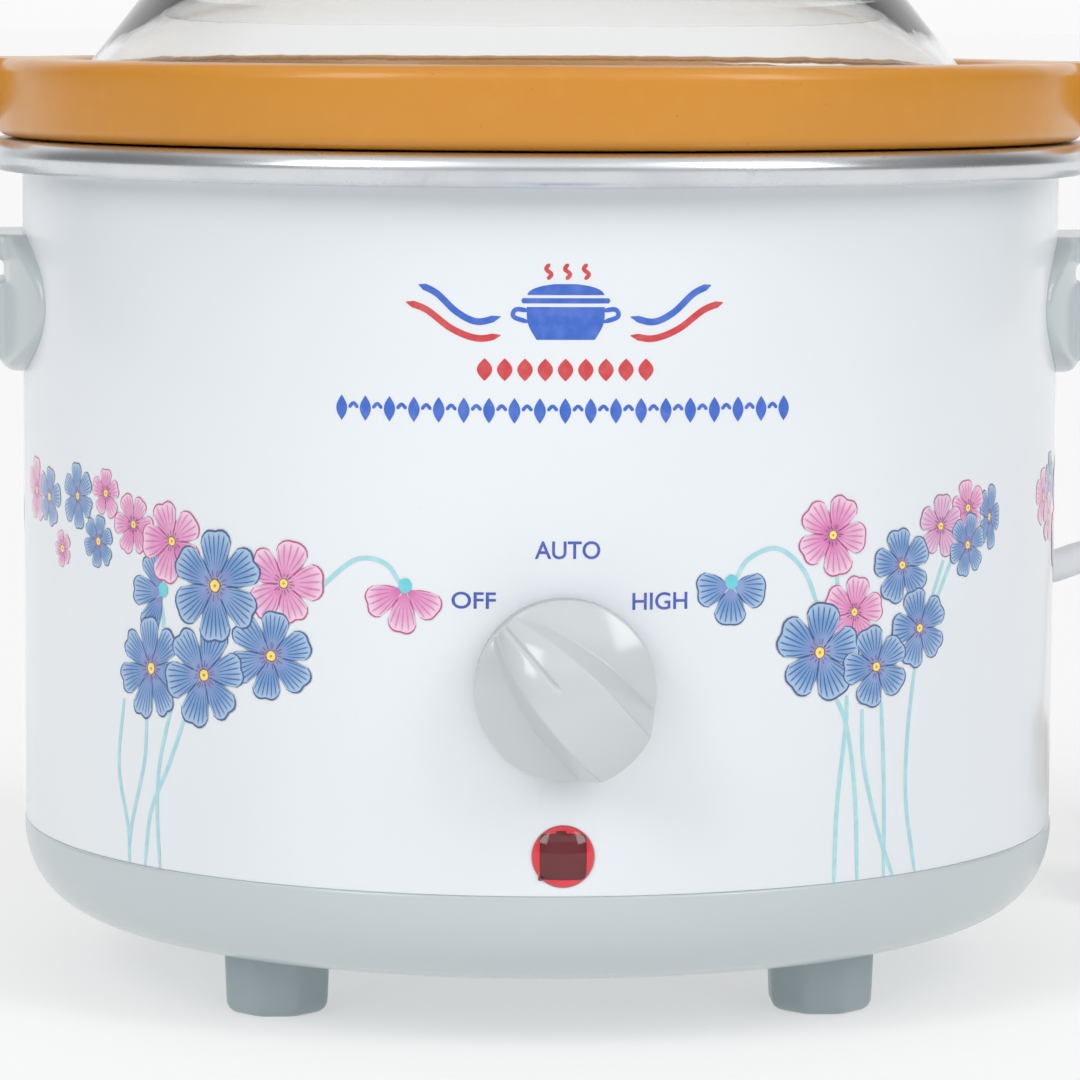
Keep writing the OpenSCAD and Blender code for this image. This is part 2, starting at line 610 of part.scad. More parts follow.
// Glazed stoneware crock: tapered wall, thick hanging rim with the lid's ledge, two lugs
module crock() color(STONEWARE) {
    corner_r = crock_low_r - crock_corner;
    in_r = crock_low_r - crock_wall;
    inner_corner = 14;
    low = crock_z + crock_corner;
    rotate_extrude($fn = 180) polygon(concat(
        [[0, crock_z]],
        quarter(corner_r, low, crock_corner, crock_corner),
        [[crock_high_r, rim_z - 4], [crock_high_r + 3, crock_seat_z]],
        arc(crock_rim_r - 5, crock_seat_z + 5, 5, -90, -8, 6),
        arc(crock_rim_r - 3, crock_top_z - 3, 3, 0, 90, 6),
        [[ledge_r + 0.8, crock_top_z], [ledge_r, crock_top_z - 0.8], [ledge_r, ledge_z],
         [crock_high_r - crock_wall + 1.5, ledge_z], [crock_high_r - crock_wall, ledge_z - 1.5]],
        reversed(quarter(in_r - inner_corner, crock_z + crock_floor + inner_corner,
            inner_corner, inner_corner)),
        [[0, crock_z + crock_floor]]));
    lug_h = 9.6;
    rotate([0, 0, crock_turn]) translate([0, 0, crock_top_z - lug_h]) linear_extrude(lug_h)
    difference() {
        intersection() {
            circle(r = lug_reach, $fn = 180);
            soft_square(2 * lug_reach, lug_w, 12);
        }
        circle(r = crock_rim_r - 2, $fn = 180);
    }
}

// ---------------------------------------------------------------- lid

// Everything on the lid stands on the lid's own axis
module on_lid(z = 0) translate([lid_shift, 0, z]) children();

// Glass lid: flange in the crock's ledge, conical shoulder and shallow dome
module glass_lid() color([0.85, 0.9, 0.92, 0.4]) on_lid() difference() {
    half = shoulder_r;
    rise = dome_top_z - shoulder_z;
    dome_r = (half * half + rise * rise) / (2 * rise);
    inner_r = dome_r - glass_t;
    spread = asin(half / dome_r);
    rotate_extrude($fn = 180) polygon(concat(
        [[lid_r - 5, lid_z], [lid_r - 0.6, lid_z], [lid_r, lid_z + 0.8],
         [lid_r, lid_z + lid_flange_h - 1], [lid_r - 1, lid_z + lid_flange_h],
         [lid_r - 3.6, lid_z + lid_flange_h]],
        arc(0, dome_top_z - dome_r, dome_r, 90 - spread, 90, 20),
        arc(0, dome_top_z - dome_r, inner_r, 90, 90 - spread + 1.5, 20)));
    cylinder(h = 300, r = lid_hole_r);
}

// Silicone washer under the glass, collar over it, knob, and the screw that holds them
module lid_washer() color([0.9, 0.9, 0.88]) on_lid(dome_top_z - glass_t - 2.35) difference() {
    cylinder(h = 1.9, r = 8);
    translate([0, 0, -1]) cylinder(h = 4, r = 2 + hair);
}
module lid_knob_seat() color(DARK_GREY) on_lid(dome_top_z + hair) difference() {
    cylinder(h = 3, r = 13);
    translate([0, 0, -1]) cylinder(h = 5, r = 2 + hair);
}
module lid_knob() color(GREY) on_lid(dome_top_z + 3 + hair) difference() {
    rotate_extrude() polygon(concat(
        [[0, 0], [9, 0], [8, 4], [9, 8]],
        arc(16, 13, 3, -90, 60, 8),
        arc(0, lid_knob_h - 40, 40, 68, 90, 8)));
    translate([0, 0, -1]) cylinder(h = 15, r = 2 + hair);
}
module lid_screw() color(STEEL) on_lid(dome_top_z - glass_t - 4.55) rotate([180, 0, 0])
    pan_screw(2, 20, 4.2, 2.2);

// ---------------------------------------------------------------- mains lead and plug

module power_cord() color([0.88, 0.89, 0.9]) tube(CORD_ROUTE, cord_r, sides = 10);
module cord_tail() color([0.88, 0.89, 0.9]) tube(TAIL_ROUTE, cord_r, sides = 10);

// The coil's outer shape: two turns side by side with a third on top
module cord_coil() color([0.88, 0.89, 0.9]) translate([coil_x, coil_y, coil_base_z])
    rotate_extrude() polygon([
        [coil_mid_r - cord_d, 0], [coil_mid_r + cord_d, 0],
        [coil_mid_r + cord_d, cord_r * 1.5], [coil_mid_r + cord_r, cord_r + 0.87 * cord_d + cord_r],
        [coil_mid_r - cord_r, cord_r + 0.87 * cord_d + cord_r], [coil_mid_r - cord_d, cord_r * 1.5]]);

// Strap around the coil's turns
module coil_tie() color([0.2, 0.2, 0.22]) translate([coil_x, coil_y, 0]) rotate([0, 0, -30])
    translate([coil_mid_r, 0, 0]) rotate([90, 0, 0]) translate([0, 0, -5]) linear_extrude(10)
        difference() {
            wide = 2 * cord_d + 2.4;
            high = 2 * cord_d + 1.4;
            translate([0, high / 2]) square([wide, high], center = true);
            translate([0, high / 2]) square([wide - 1.6, high - 1.6], center = true);
        }

// Moulded plug lying on its back, with its cable nose, and its three flat pins standing up
module plug_body() color([0.88, 0.89, 0.9]) translate([plug_x, plug_y, 0]) {
    depth = 20;
    translate([0, -23, 0]) linear_extrude(depth) soft_square(48, 46, 9);
    translate([0, nose_len, plug_z]) rotate([90, 0, 0])
        cylinder(h = nose_len + 3, r1 = cord_r + 1.2, r2 = 7.5);
}
module plug_pins() color(BRASS) translate([plug_x, plug_y, 20]) {
    for (x = [-11.1, 11.1]) translate([x - 3.2, -16, 0]) cube([6.4, 4, 17.7]);
    translate([-2, -40.2, 0]) cube([4, 8, 22.7]);
}

base_cover();
for (i = [0:3]) foot(45 + 90 * i);
foot_screws();
outer_shell();
heating_well();
bottom_reflector();
centre_stud();
stud_spacer_upper();
stud_spacer_lower();
centre_washer();
centre_nut();
heater_band();
heater_strap();
strap_screw();
insulation_blanket();
thermostat();
thermostat_bracket();
thermal_fuse();
handle_left();
handle_right();
handle_plate_left();
handle_plate_right();
handle_screws();
control_knob();
switch_shaft();
switch_body();
switch_nut();
lamp_lens();
lamp_bulb();
lamp_holder();
terminal_block();
earth_screw();
lead_live();
lead_neutral();
lead_earth();
lead_heater();
lead_lamp();
inner_cord();
strain_relief();
strain_relief_nut();
crock();
glass_lid();
lid_washer();
lid_knob_seat();
lid_knob();
lid_screw();
power_cord();
cord_coil();
coil_tie();
cord_tail();
plug_body();
plug_pins();
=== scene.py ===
# Looks of a small round electric slow cooker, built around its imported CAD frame.
# Z is up and the front faces -Y. Shapes are drawn in millimetres, and make() turns them into
# metres. An azimuth is counted in degrees from the front towards +X.

import random
from math import asin, atan2, cos, degrees, exp, hypot, pi, radians, sin, sqrt, tan, tau

import bmesh
import bpy
from mathutils import Matrix, Vector


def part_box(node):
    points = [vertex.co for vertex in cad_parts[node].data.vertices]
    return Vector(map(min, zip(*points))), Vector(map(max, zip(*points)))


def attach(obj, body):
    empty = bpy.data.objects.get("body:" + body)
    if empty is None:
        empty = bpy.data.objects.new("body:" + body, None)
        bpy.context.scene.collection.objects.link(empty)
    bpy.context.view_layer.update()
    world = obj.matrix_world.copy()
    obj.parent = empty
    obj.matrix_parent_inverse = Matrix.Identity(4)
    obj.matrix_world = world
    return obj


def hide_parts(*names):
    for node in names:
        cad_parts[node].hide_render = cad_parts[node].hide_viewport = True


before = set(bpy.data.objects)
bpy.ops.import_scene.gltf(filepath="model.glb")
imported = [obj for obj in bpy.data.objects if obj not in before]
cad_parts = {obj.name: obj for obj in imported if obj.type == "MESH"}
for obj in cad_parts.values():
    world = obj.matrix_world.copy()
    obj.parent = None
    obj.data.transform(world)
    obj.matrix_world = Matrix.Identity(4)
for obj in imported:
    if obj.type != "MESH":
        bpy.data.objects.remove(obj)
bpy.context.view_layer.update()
MM = 0.001


# ---- sizes from the frame

def low(node):
    """Lowest corner of a CAD node, in millimetres."""
    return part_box(node)[0] / MM


def high(node):
    """Highest corner of a CAD node, in millimetres."""
    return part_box(node)[1] / MM


SHELL_R, _, SHELL_TOP = high("outer_shell")
SHELL_LOW = low("outer_shell").z
BASE_R, BASE_LOW = high("base_cover").x, low("base_cover").z
BEAD_R, _, RIM_Z = high("heating_well")
WELL_LOW = low("heating_well").z
CROCK_TURN, LUG_FLAT = -4, 16
CROCK_END, CROCK_R, CROCK_TOP = high("crock")
CROCK_LOW = low("crock").z
LUG_REACH = (CROCK_END + LUG_FLAT * sin(radians(CROCK_TURN))) / cos(radians(CROCK_TURN))
LID_END, LID_R, LID_TOP = high("glass_lid")
LID_X, LID_LOW = LID_END - LID_R, low("glass_lid").z
KNOB_R, KNOB_BACK, KNOB_FRONT = high("control_knob").x, -high("control_knob").y, -low("control_knob").y
KNOB_Z = (low("switch_shaft").z + high("switch_shaft").z) / 2
LAMP_R, LAMP_FRONT = high("lamp_lens").x, -low("lamp_lens").y
LAMP_Z = (low("lamp_lens").z + high("lamp_lens").z) / 2
HANDLE_REACH, HANDLE_HALF, HANDLE_TOP = high("handle_right")
HANDLE_LOW = low("handle_right").z
FOOT_R = ((low("foot_front_right") + high("foot_front_right")) / 2).xy.length
COIL_MID = (low("cord_coil") + high("cord_coil")) / 2
PLUG_X = (low("plug_body").x + high("plug_body").x) / 2
PLUG_Y, PLUG_TOP = low("plug_body").y + 23, high("plug_body").z

# The mains lead's route in metres, as its CAD solid follows it
CORD_ROUTE = [(.1157, .0752, .0752), (.120, .078, .0756), (.124, .0805, .0762), (.1295, .084, .0775),
    (.1355, .0875, .0786), (.142, .091, .0792), (.149, .0945, .0784), (.156, .0978, .0756),
    (.1623, .1006, .071), (.1675, .1027, .065), (.1716, .1043, .058), (.1748, .1055, .0505),
    (.1775, .1065, .0425), (.1802, .1075, .0345), (.1833, .1086, .0268), (.1873, .110, .0195),
    (.1928, .1119, .0129), (.1994, .1141, .008), (.2052, .116, .0056), (.211, .1176, .0046)]
TAIL_ROUTE = [(.160, y, z) for y, z in ((.148, .0112), (.142, .0116), (.136, .0116), (.130, .011),
    (.124, .0101), (.118, .0093), (.112, .009))]
CORD_D = 7.4
CORD_AZIMUTH = degrees(atan2(CORD_ROUTE[0][0], -CORD_ROUTE[0][1]))
CORD_Z = CORD_ROUTE[0][2] / MM


# ---- small geometry helpers

def ease(t):
    """Smooth step from 0 to 1."""
    t = max(0.0, min(1.0, t))
    return t * t * (3 - 2 * t)


def soft_min(a, b, k):
    """The lesser of two values, blended over k."""
    h = max(k - abs(a - b), 0) / k
    return min(a, b) - h * h * k / 4


def soft_max(a, b, k):
    return -soft_min(-a, -b, k)


def arc(cx, cy, r, a0, a1, n=8):
    """Points on a circle from one angle to another, in degrees."""
    return [(cx + r * cos(radians(a0 + (a1 - a0) * i / n)), cy + r * sin(radians(a0 + (a1 - a0) * i / n)))
        for i in range(n + 1)]


def quarter(cx, cz, rx, rz, n=24, full=2.0):
    """Points from the lowest to the outermost of a quarter ellipse, squarer as full grows."""
    p = 2 / full
    return [(cx + rx * sin(pi / 2 * i / n) ** p, cz - rz * max(cos(pi / 2 * i / n), 0) ** p)
        for i in range(n + 1)]


def rounded(corners, closed=True, n=5):
    """An outline whose corners (x, y, radius) become arcs."""
    out = []
    for i, (x, y, r) in enumerate(corners):
        if r == 0 or (not closed and i in (0, len(corners) - 1)):
            out.append((x, y))
            continue
        p = Vector((x, y))
        a = Vector(corners[i - 1][:2]) - p
        b = Vector(corners[(i + 1) % len(corners)][:2]) - p
        half = a.angle(b) / 2
        reach = min(r / tan(half), a.length * 0.49, b.length * 0.49)
        a.normalize()
        b.normalize()
        middle = p + (a + b).normalized() * (reach / cos(half))
        start = p + a * reach - middle
        turn = (pi - 2 * half) * (1 if start.cross(p + b * reach - middle) > 0 else -1)
        out += [tuple(middle + Matrix.Rotation(turn * k / n, 2) @ start) for k in range(n + 1)]
    return out


def oblong(x0, x1, y0, y1, r0, r1=None, r2=None, r3=None, n=5):
    """A rectangle's outline; its corners have one radius, or four from the lowest left on."""
    radii = (r0,) * 4 if r1 is None else (r0, r1, r2, r3)
    ends = ((x0, y0), (x1, y0), (x1, y1), (x0, y1))
    return rounded([(x, y, r) for (x, y), r in zip(ends, radii)], n=n)


def revolve(profile, steps=256, closed=False):
    """A profile [(r, z)] turned about Z. A point on the axis becomes one vertex."""
    verts, rows, faces = [], [], []
    for r, z in profile:
        if r < 1e-6:
            rows.append([len(verts)] * steps)
            verts.append((0, 0, z))
        else:
            rows.append(range(len(verts), len(verts) + steps))
            verts += [(r * sin(tau * k / steps), -r * cos(tau * k / steps), z) for k in range(steps)]
    for a, b in zip(rows, list(rows[1:]) + ([rows[0]] if closed else [])):
        for k in range(steps):
            n = (k + 1) % steps
            face = list(dict.fromkeys((a[k], a[n], b[n], b[k])))
            if len(face) > 2:
                faces.append(face)
    return verts, faces


def loft(rings, caps=True):
    """Skin over rings of points that all have the same count."""
    n = len(rings[0])
    verts = [p for ring in rings for p in ring]
    faces = [(i * n + k, i * n + (k + 1) % n, (i + 1) * n + (k + 1) % n, (i + 1) * n + k)
        for i in range(len(rings) - 1) for k in range(n)]
    if caps:
        faces += [tuple(range(n - 1, -1, -1)), tuple(range(len(verts) - n, len(verts)))]
    return verts, faces


def spline(points, steps=4):
    """A smooth curve through points of any dimension, with its ends kept."""
    pts = [Vector(p) for p in points]
    pts = [pts[0] * 2 - pts[1]] + pts + [pts[-1] * 2 - pts[-2]]
    out = []
    for a, b, c, d in zip(pts, pts[1:], pts[2:], pts[3:]):
        for k in range(steps):
            t = k / steps
            out.append(b + (c - a) * (t / 2) + (a * 2 - b * 5 + c * 4 - d) * (t * t / 2)
                + (b * 3 - a - c * 3 + d) * (t * t * t / 2))
    return out + [pts[-2]]


def sweep(path, radius, sides=20):
    """A round tube along a path."""
    rings, side = [], None
    for i, p in enumerate(path):
        along = (path[min(i + 1, len(path) - 1)] - path[max(i - 1, 0)]).normalized()
        side = side or along.orthogonal()
        side = (side - along * side.dot(along)).normalized()
        other = along.cross(side)
        rings.append([p + (side * cos(tau * k / sides) + other * sin(tau * k / sides)) * radius
            for k in range(sides)])
    return loft(rings)


def prism(outline, z0, z1):
    """A flat outline raised from one height to another."""
    return loft([[(x, y, z) for x, y in outline] for z in (z0, z1)])


def grid(rows, columns):
    """Faces between rows of points, each row having one point more than columns."""
    return [(a, a + 1, a + columns + 2, a + columns + 1) for i in range(rows - 1)
        for a in range(i * (columns + 1), i * (columns + 1) + columns)]


def merged(*parts):
    """Several (vertices, faces) as one."""
    verts, faces = [], []
    for v, f in parts:
        faces += [tuple(i + len(verts) for i in face) for face in f]
        verts += [Vector(p) for p in v]
    return verts, faces


def moved(part, matrix):
    """A part (vertices, faces) put elsewhere."""
    return [matrix @ Vector(v) for v in part[0]], part[1]


def shift(x, y=0, z=0):
    return Matrix.Translation((x, y, z))


def spin(angle, axis="Z"):
    """A turn in degrees."""
    return Matrix.Rotation(radians(angle), 4, axis)


def out_of_front(z):
    """Turns what is drawn along +Z to point out of the front at a height."""
    return shift(0, 0, z) @ spin(90, "X")


def at_azimuth(a, z=0):
    """Turns what is drawn along +X to an azimuth at a height."""
    return shift(0, 0, z) @ spin(a - 90)


LEAD_OUT = at_azimuth(CORD_AZIMUTH, CORD_Z) @ spin(90, "Y")


# ---- making pieces

def smooth(mesh, sharp):
    """Outward normals, and smooth shading up to an edge angle in degrees."""
    bm = bmesh.new()
    bm.from_mesh(mesh)
    bmesh.ops.remove_doubles(bm, verts=bm.verts, dist=1e-7)
    bmesh.ops.recalc_face_normals(bm, faces=bm.faces)
    bm.to_mesh(mesh)
    bm.free()
    mesh.shade_smooth()
    mesh.set_sharp_from_angle(angle=radians(sharp))


def settle(obj, body, stands_for):
    """Puts a piece on its body, in place of CAD nodes."""
    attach(obj, body)
    if stands_for:
        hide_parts(*stands_for)
    return obj


def raw_object(name, part, material):
    """An object from (vertices, faces) in millimetres, not yet on a body."""
    mesh = bpy.data.meshes.new(name)
    mesh.from_pydata([Vector(v) * MM for v in part[0]], [], part[1])
    mesh.materials.append(material)
    obj = bpy.data.objects.new(name, mesh)
    bpy.context.scene.collection.objects.link(obj)
    return obj


def make(name, part, material, stands_for=(), body="root", sharp=32):
    """One finished piece from (vertices, faces) in millimetres."""
    obj = raw_object(name, part, material)
    smooth(obj.data, sharp)
    return settle(obj, body, stands_for)


def apply_modifiers(obj):
    graph = bpy.context.evaluated_depsgraph_get()
    mesh = bpy.data.meshes.new_from_object(obj.evaluated_get(graph))
    obj.modifiers.clear()
    obj.data = mesh


def combine(obj, tools, operation="DIFFERENCE", solver="EXACT"):
    """Cuts an object with tools [(vertices, faces)], or joins or meets it with them."""
    for part in tools:
        tool = raw_object("tool", part, obj.data.materials[0])
        smooth(tool.data, 30)
        step = obj.modifiers.new("step", "BOOLEAN")
        step.operation = operation
        step.solver = solver
        step.object = tool
        apply_modifiers(obj)
        bpy.data.objects.remove(tool)


def make_cut(name, part, material, tools, stands_for):
    """One finished piece on the root with holes in it."""
    obj = raw_object(name, part, material)
    smooth(obj.data, 30)
    combine(obj, tools)
    smooth(obj.data, 30)
    settle(obj, "root", stands_for)


def bar(r, z0, z1, steps=48):
    """A plain round bar along Z."""
    return revolve([(0, z0), (r, z0), (r, z1), (0, z1)], steps)


# ---- materials

def srgb(r, g, b):
    """A linear colour from 0-255 display values."""
    return tuple(((v / 255 + 0.055) / 1.055) ** 2.4 if v > 10 else v / 255 / 12.92 for v in (r, g, b))


class Shading:
    """Keeps the node tree that new shader nodes go into."""
    tree = None


def node(kind, outputs=0, settings=None, **inputs):
    """Adds a shader node; an input is a value or another node's output. Returns an output."""
    tree = Shading.tree
    made = tree.nodes.new("ShaderNode" + kind)
    for key, value in (settings or {}).items():
        setattr(made, key, value)
    for key, value in inputs.items():
        target = made.inputs[int(key[1:]) if key[1:].isdigit() else key.replace("_", " ")]
        if isinstance(value, bpy.types.NodeSocket):
            tree.links.new(value, target)
        else:
            target.default_value = (*value, 1) if key in ("i6", "i7") else value
    return made.outputs[outputs]


def calc(operation, a, b=0.0):
    return node("Math", settings={"operation": operation}, i0=a, i1=b)


def mix(factor, a, b):
    """Mixes two colours, which are sockets 6 and 7 of the node."""
    return node("Mix", 2, {"data_type": "RGBA"}, i0=factor, i6=a, i7=b)


def span(value, from_low, from_high, to_low=0.0, to_high=1.0):
    """A value mapped smoothly from one range to another, and held at the ends."""
    return node("MapRange", settings={"interpolation_type": "SMOOTHSTEP"}, i0=value, i1=from_low,
        i2=from_high, i3=to_low, i4=to_high)


def place():
    """Where a point is on the part at rest, in metres."""
    return node("TexCoord", "Object")


def axes(vector):
    """The three components of a vector."""
    return node("SeparateXYZ", i0=vector).node.outputs


def noise(scale, detail=2.0, rough=0.5, vector=None):
    return node("TexNoise", Scale=scale, Detail=detail, Roughness=rough, Vector=vector or place())


def patches(scale, detail, from_low, from_high, to_low=0.0, to_high=1.0):
    """Noise whose middle is spread between two values."""
    return span(noise(scale, detail), from_low, from_high, to_low, to_high)


def specks(tone, colour, scale, near, far, share):
    """Small round specks of a colour in a tone."""
    cells = node("TexVoronoi", Scale=scale, Vector=place())
    return mix(span(cells, near, far, share, 0.0), tone, colour)


def shade(colour, factor):
    return tuple(c * factor for c in colour)


def bump(height, distance, strength=1.0, normal=None):
    """A bump from a height of 0 to 1, distance deep in metres."""
    extra = {"Normal": normal} if normal else {}
    return node("Bump", Height=height, Distance=distance, Strength=strength, **extra)


def principled(name, colour, roughness, **sockets):
    """A new material whose uniform values sit on the shader's own sockets."""
    material = bpy.data.materials.new(name)
    material.use_nodes = True
    Shading.tree = material.node_tree
    inputs = Shading.tree.nodes["Principled BSDF"].inputs
    uniform = {"Base_Color": (*colour, 1), "Roughness": roughness, **sockets}
    for key, value in uniform.items():
        inputs[key.replace("_", " ")].default_value = value
    return material


def wire_up(material, colour=None, roughness=None, normal=None):
    """Connects what varies over the surface, and returns the material."""
    tree = material.node_tree
    inputs = tree.nodes["Principled BSDF"].inputs
    for key, socket in (("Base Color", colour), ("Roughness", roughness), ("Normal", normal)):
        if socket:
            tree.links.new(socket, inputs[key])
    return material


def moulded_plastic(name, colour, roughness=0.3, grain=1.0):
    """Glossy injection-moulded plastic: fine grain and slow, slight changes of tone."""
    material = principled(name, colour, roughness, Specular_IOR_Level=0.55)
    tone = mix(noise(9, 1), colour, shade(colour, 0.955))
    slow = node("MapRange", i0=noise(14, 1), i1=0.25, i2=0.75, i3=roughness * 0.93, i4=roughness * 1.07)
    return wire_up(material, tone, slow, bump(noise(1300, 1), 0.000008 * grain, 0.5))


def enamel_material():
    """White stoved enamel: hard gloss, gentle orange peel, a few pinhead specks."""
    white = srgb(233, 238, 242)
    material = principled("white_enamel", white, 0.17, Coat_Weight=0.2, Coat_Roughness=0.06,
        Specular_IOR_Level=0.4)
    tone = mix(patches(9, 2, 0.35, 0.7), white, srgb(229, 234, 239))
    tone = specks(tone, srgb(190, 196, 204), 260.0, 0.02, 0.035, 0.35)
    rough = patches(20, 3, 0.3, 0.8, 0.17, 0.25)
    return wire_up(material, tone, rough, bump(noise(130, 2), 0.00005, 0.3))


def spun_aluminium():
    """Lathe-spun aluminium: rings round the axis, smears and small dull marks."""
    base, rings = srgb(222, 225, 228), 1900.0
    material = principled("spun_aluminium", base, 0.3, Metallic=1.0)
    x, y, z = axes(place())
    out = calc("SQRT", calc("ADD", calc("MULTIPLY", x, x), calc("MULTIPLY", y, y)))
    across = node("CombineXYZ", i0=calc("MULTIPLY", out, rings), i1=calc("MULTIPLY", z, rings))
    lines = noise(1.0, 2, vector=across)
    smear = noise(38, 5, 0.6)
    spots = patches(170, 3, 0.64, 0.76)
    tone = mix(span(smear, 0.35, 0.75), base, srgb(208, 212, 217))
    tone = mix(calc("MULTIPLY", spots, 0.25), tone, srgb(168, 170, 174))
    rough = calc("ADD", span(smear, 0.3, 0.75, 0.24, 0.34), calc("MULTIPLY", spots, 0.08))
    return wire_up(material, tone, rough, bump(lines, 0.00003, 0.5))


def stoneware():
    """Tan glazed stoneware: clear pooled glaze, iron specks, mottled body under it."""
    tan_glaze = srgb(210, 142, 46)
    material = principled("tan_stoneware", tan_glaze, 0.36, Coat_Weight=0.3, Coat_Roughness=0.16,
        Specular_IOR_Level=0.35, Subsurface_Weight=0.04, Subsurface_Scale=0.002)
    tone = mix(patches(16, 3, 0.35, 0.7), tan_glaze, srgb(206, 138, 46))
    tone = mix(patches(240, 3, 0.5, 0.8, 0.0, 0.15), tone, srgb(222, 160, 76))
    tone = specks(tone, srgb(150, 96, 46), 210.0, 0.03, 0.06, 0.4)
    ripple = bump(noise(60, 2), 0.0003, 0.3)
    pits = bump(noise(900, 2), 0.00003, 0.4, ripple)
    return wire_up(material, tone, patches(50, 3, 0.3, 0.75, 0.28, 0.42), pits)


def clear_glass():
    """Pressed clear glass with the faint waviness of its mould."""
    material = principled("clear_glass", (0.97, 0.985, 0.98), 0.015, Transmission_Weight=1.0, IOR=1.45)
    wave = bump(noise(32, 2), 0.0006, 0.25)
    return wire_up(material, normal=bump(noise(260, 1), 0.00002, 0.3, wave))


def red_lens(name, colour, transmission, roughness, emitted=0.0):
    """Clear acrylic with a few moulding strains; its emission strength is a painted glow, which brightens
    the lens as though light came through it.
    """
    material = principled(name, colour, roughness, IOR=1.49, Transmission_Weight=transmission,
        Emission_Strength=emitted, Emission_Color=(*colour, 1))
    tone = mix(noise(420, 2), colour, shade(colour, 0.8))
    return wire_up(material, tone, normal=bump(noise(500, 1), 0.00002, 0.3))


def metal(name, colour, roughness):
    """Plated metal with fine scratches and uneven plating."""
    material = principled(name, colour, roughness, Metallic=1.0)
    stretched = node("Mapping", Vector=place(), Scale=(1.0, 1.0, 9.0))
    scratch = noise(900, 3, 0.6, stretched)
    tone = mix(patches(90, 3, 0.35, 0.7), colour, shade(colour, 0.8))
    rough = span(scratch, 0.3, 0.75, roughness * 0.8, roughness * 1.3)
    return wire_up(material, tone, rough, bump(scratch, 0.00002, 0.5))


def rubbery(name, colour, roughness=0.45):
    """Soft PVC or silicone: satin, slightly translucent, faint drawing marks."""
    material = principled(name, colour, roughness, Subsurface_Weight=0.08, Subsurface_Scale=0.0015)
    tone = mix(patches(70, 3, 0.35, 0.7), colour, shade(colour, 0.94))
    rough = patches(300, 3, 0.3, 0.75, roughness * 0.85, roughness * 1.15)
    return wire_up(material, tone, rough, bump(noise(1500, 2), 0.00003, 0.5))


def fibrous(name, colour, scale):
    """Felted or woven fibre."""
    material = principled(name, colour, 0.9)
    weave = node("TexVoronoi", Scale=float(scale), Vector=place())
    tone = mix(span(weave, 0.1, 0.7), colour, shade(colour, 0.6))
    return wire_up(material, tone, normal=bump(weave, 0.0002, 0.8))


def floor_material():
    """Near-white paper sweep, lit from behind so that shadows stay pale, with a faint tooth."""
    paper = (0.5, 0.5, 0.5)
    material = principled("pale_floor", paper, 0.9, Specular_IOR_Level=0.1, Emission_Strength=0.47,
        Emission_Color=(1, 1, 1, 1))
    return wire_up(material, mix(noise(300, 2), paper, (0.49, 0.49, 0.49)))


ENAMEL = enamel_material()
GREY_PLASTIC = moulded_plastic("grey_plastic", srgb(196, 205, 208), 0.2)
KNOB_PLASTIC = moulded_plastic("knob_plastic", srgb(203, 209, 211), 0.13, 0.3)
FOOT_PLASTIC = moulded_plastic("foot_plastic", srgb(158, 171, 176), 0.33)
WHITE_PLASTIC = moulded_plastic("white_plastic", srgb(226, 229, 232), 0.35)
BLACK_PLASTIC = moulded_plastic("black_plastic", srgb(38, 38, 40), 0.4)
CREAM_PLASTIC = moulded_plastic("cream_plastic", srgb(222, 216, 196), 0.45)
ALUMINIUM = spun_aluminium()
STONEWARE = stoneware()
GLASS = clear_glass()
STEEL = metal("plated_steel", srgb(180, 182, 186), 0.3)
BRASS = metal("brass", srgb(212, 176, 98), 0.28)
SILICONE = rubbery("silicone", srgb(230, 230, 226), 0.5)
CORD_JACKET = rubbery("cord_jacket", srgb(224, 227, 231), 0.4)
BLANKET = fibrous("glass_fibre", srgb(232, 226, 205), 500)
MICA = fibrous("mica_band", srgb(190, 178, 150), 300)
TIE_FABRIC = fibrous("tie_fabric", srgb(58, 60, 66), 1500)


# ---- camera, lights and floor

def make_camera():
    """The camera stands a little to the left of the front and looks slightly down."""
    pitch, roll, stand = 83.898, 0.26356, spin(-2.6)
    data = bpy.data.cameras.new("camera")
    data.sensor_width = 36
    data.lens = 166.5
    data.clip_start = 0.05
    data.clip_end = 100
    camera = bpy.data.objects.new("camera", data)
    bpy.context.scene.collection.objects.link(camera)
    camera.matrix_world = (stand @ shift(0.0002275, -1.068, 0.20494) @ spin(pitch, "X") @ spin(roll))
    bpy.context.scene.camera = camera


def soft_box(ray, azimuth, elevation, half_w, half_h):
    """1 where a ray looks into a soft box that hangs in that direction, fading at its edges."""
    a, e = radians(azimuth), radians(elevation)
    out = Vector((sin(a) * cos(e), -cos(a) * cos(e), sin(e)))
    side = Vector((cos(a), sin(a), 0))
    up = side.cross(out) * -1

    def dot(axis):
        return node("VectorMath", "Value", {"operation": "DOT_PRODUCT"}, i0=ray, i1=tuple(axis))

    ahead = calc("MAXIMUM", dot(out), 0.001)
    mask = None
    for axis, half in ((side, half_w), (up, half_h)):
        off = calc("ABSOLUTE", calc("DIVIDE", dot(axis), ahead))
        edge = span(off, half * 0.88, half * 1.12, 1.0, 0.0)
        mask = edge if mask is None else calc("MULTIPLY", mask, edge)
    return mask


SOFT_BOXES = [
    # azimuth, elevation, half width, half height, power
    (-46, 36, 0.15, 0.3, 4.7), (48, 36, 0.15, 0.3, 4.7), (0, 82, 0.9, 0.7, 0.33),
    (0, 38, 1.7, 0.16, 0.6)]


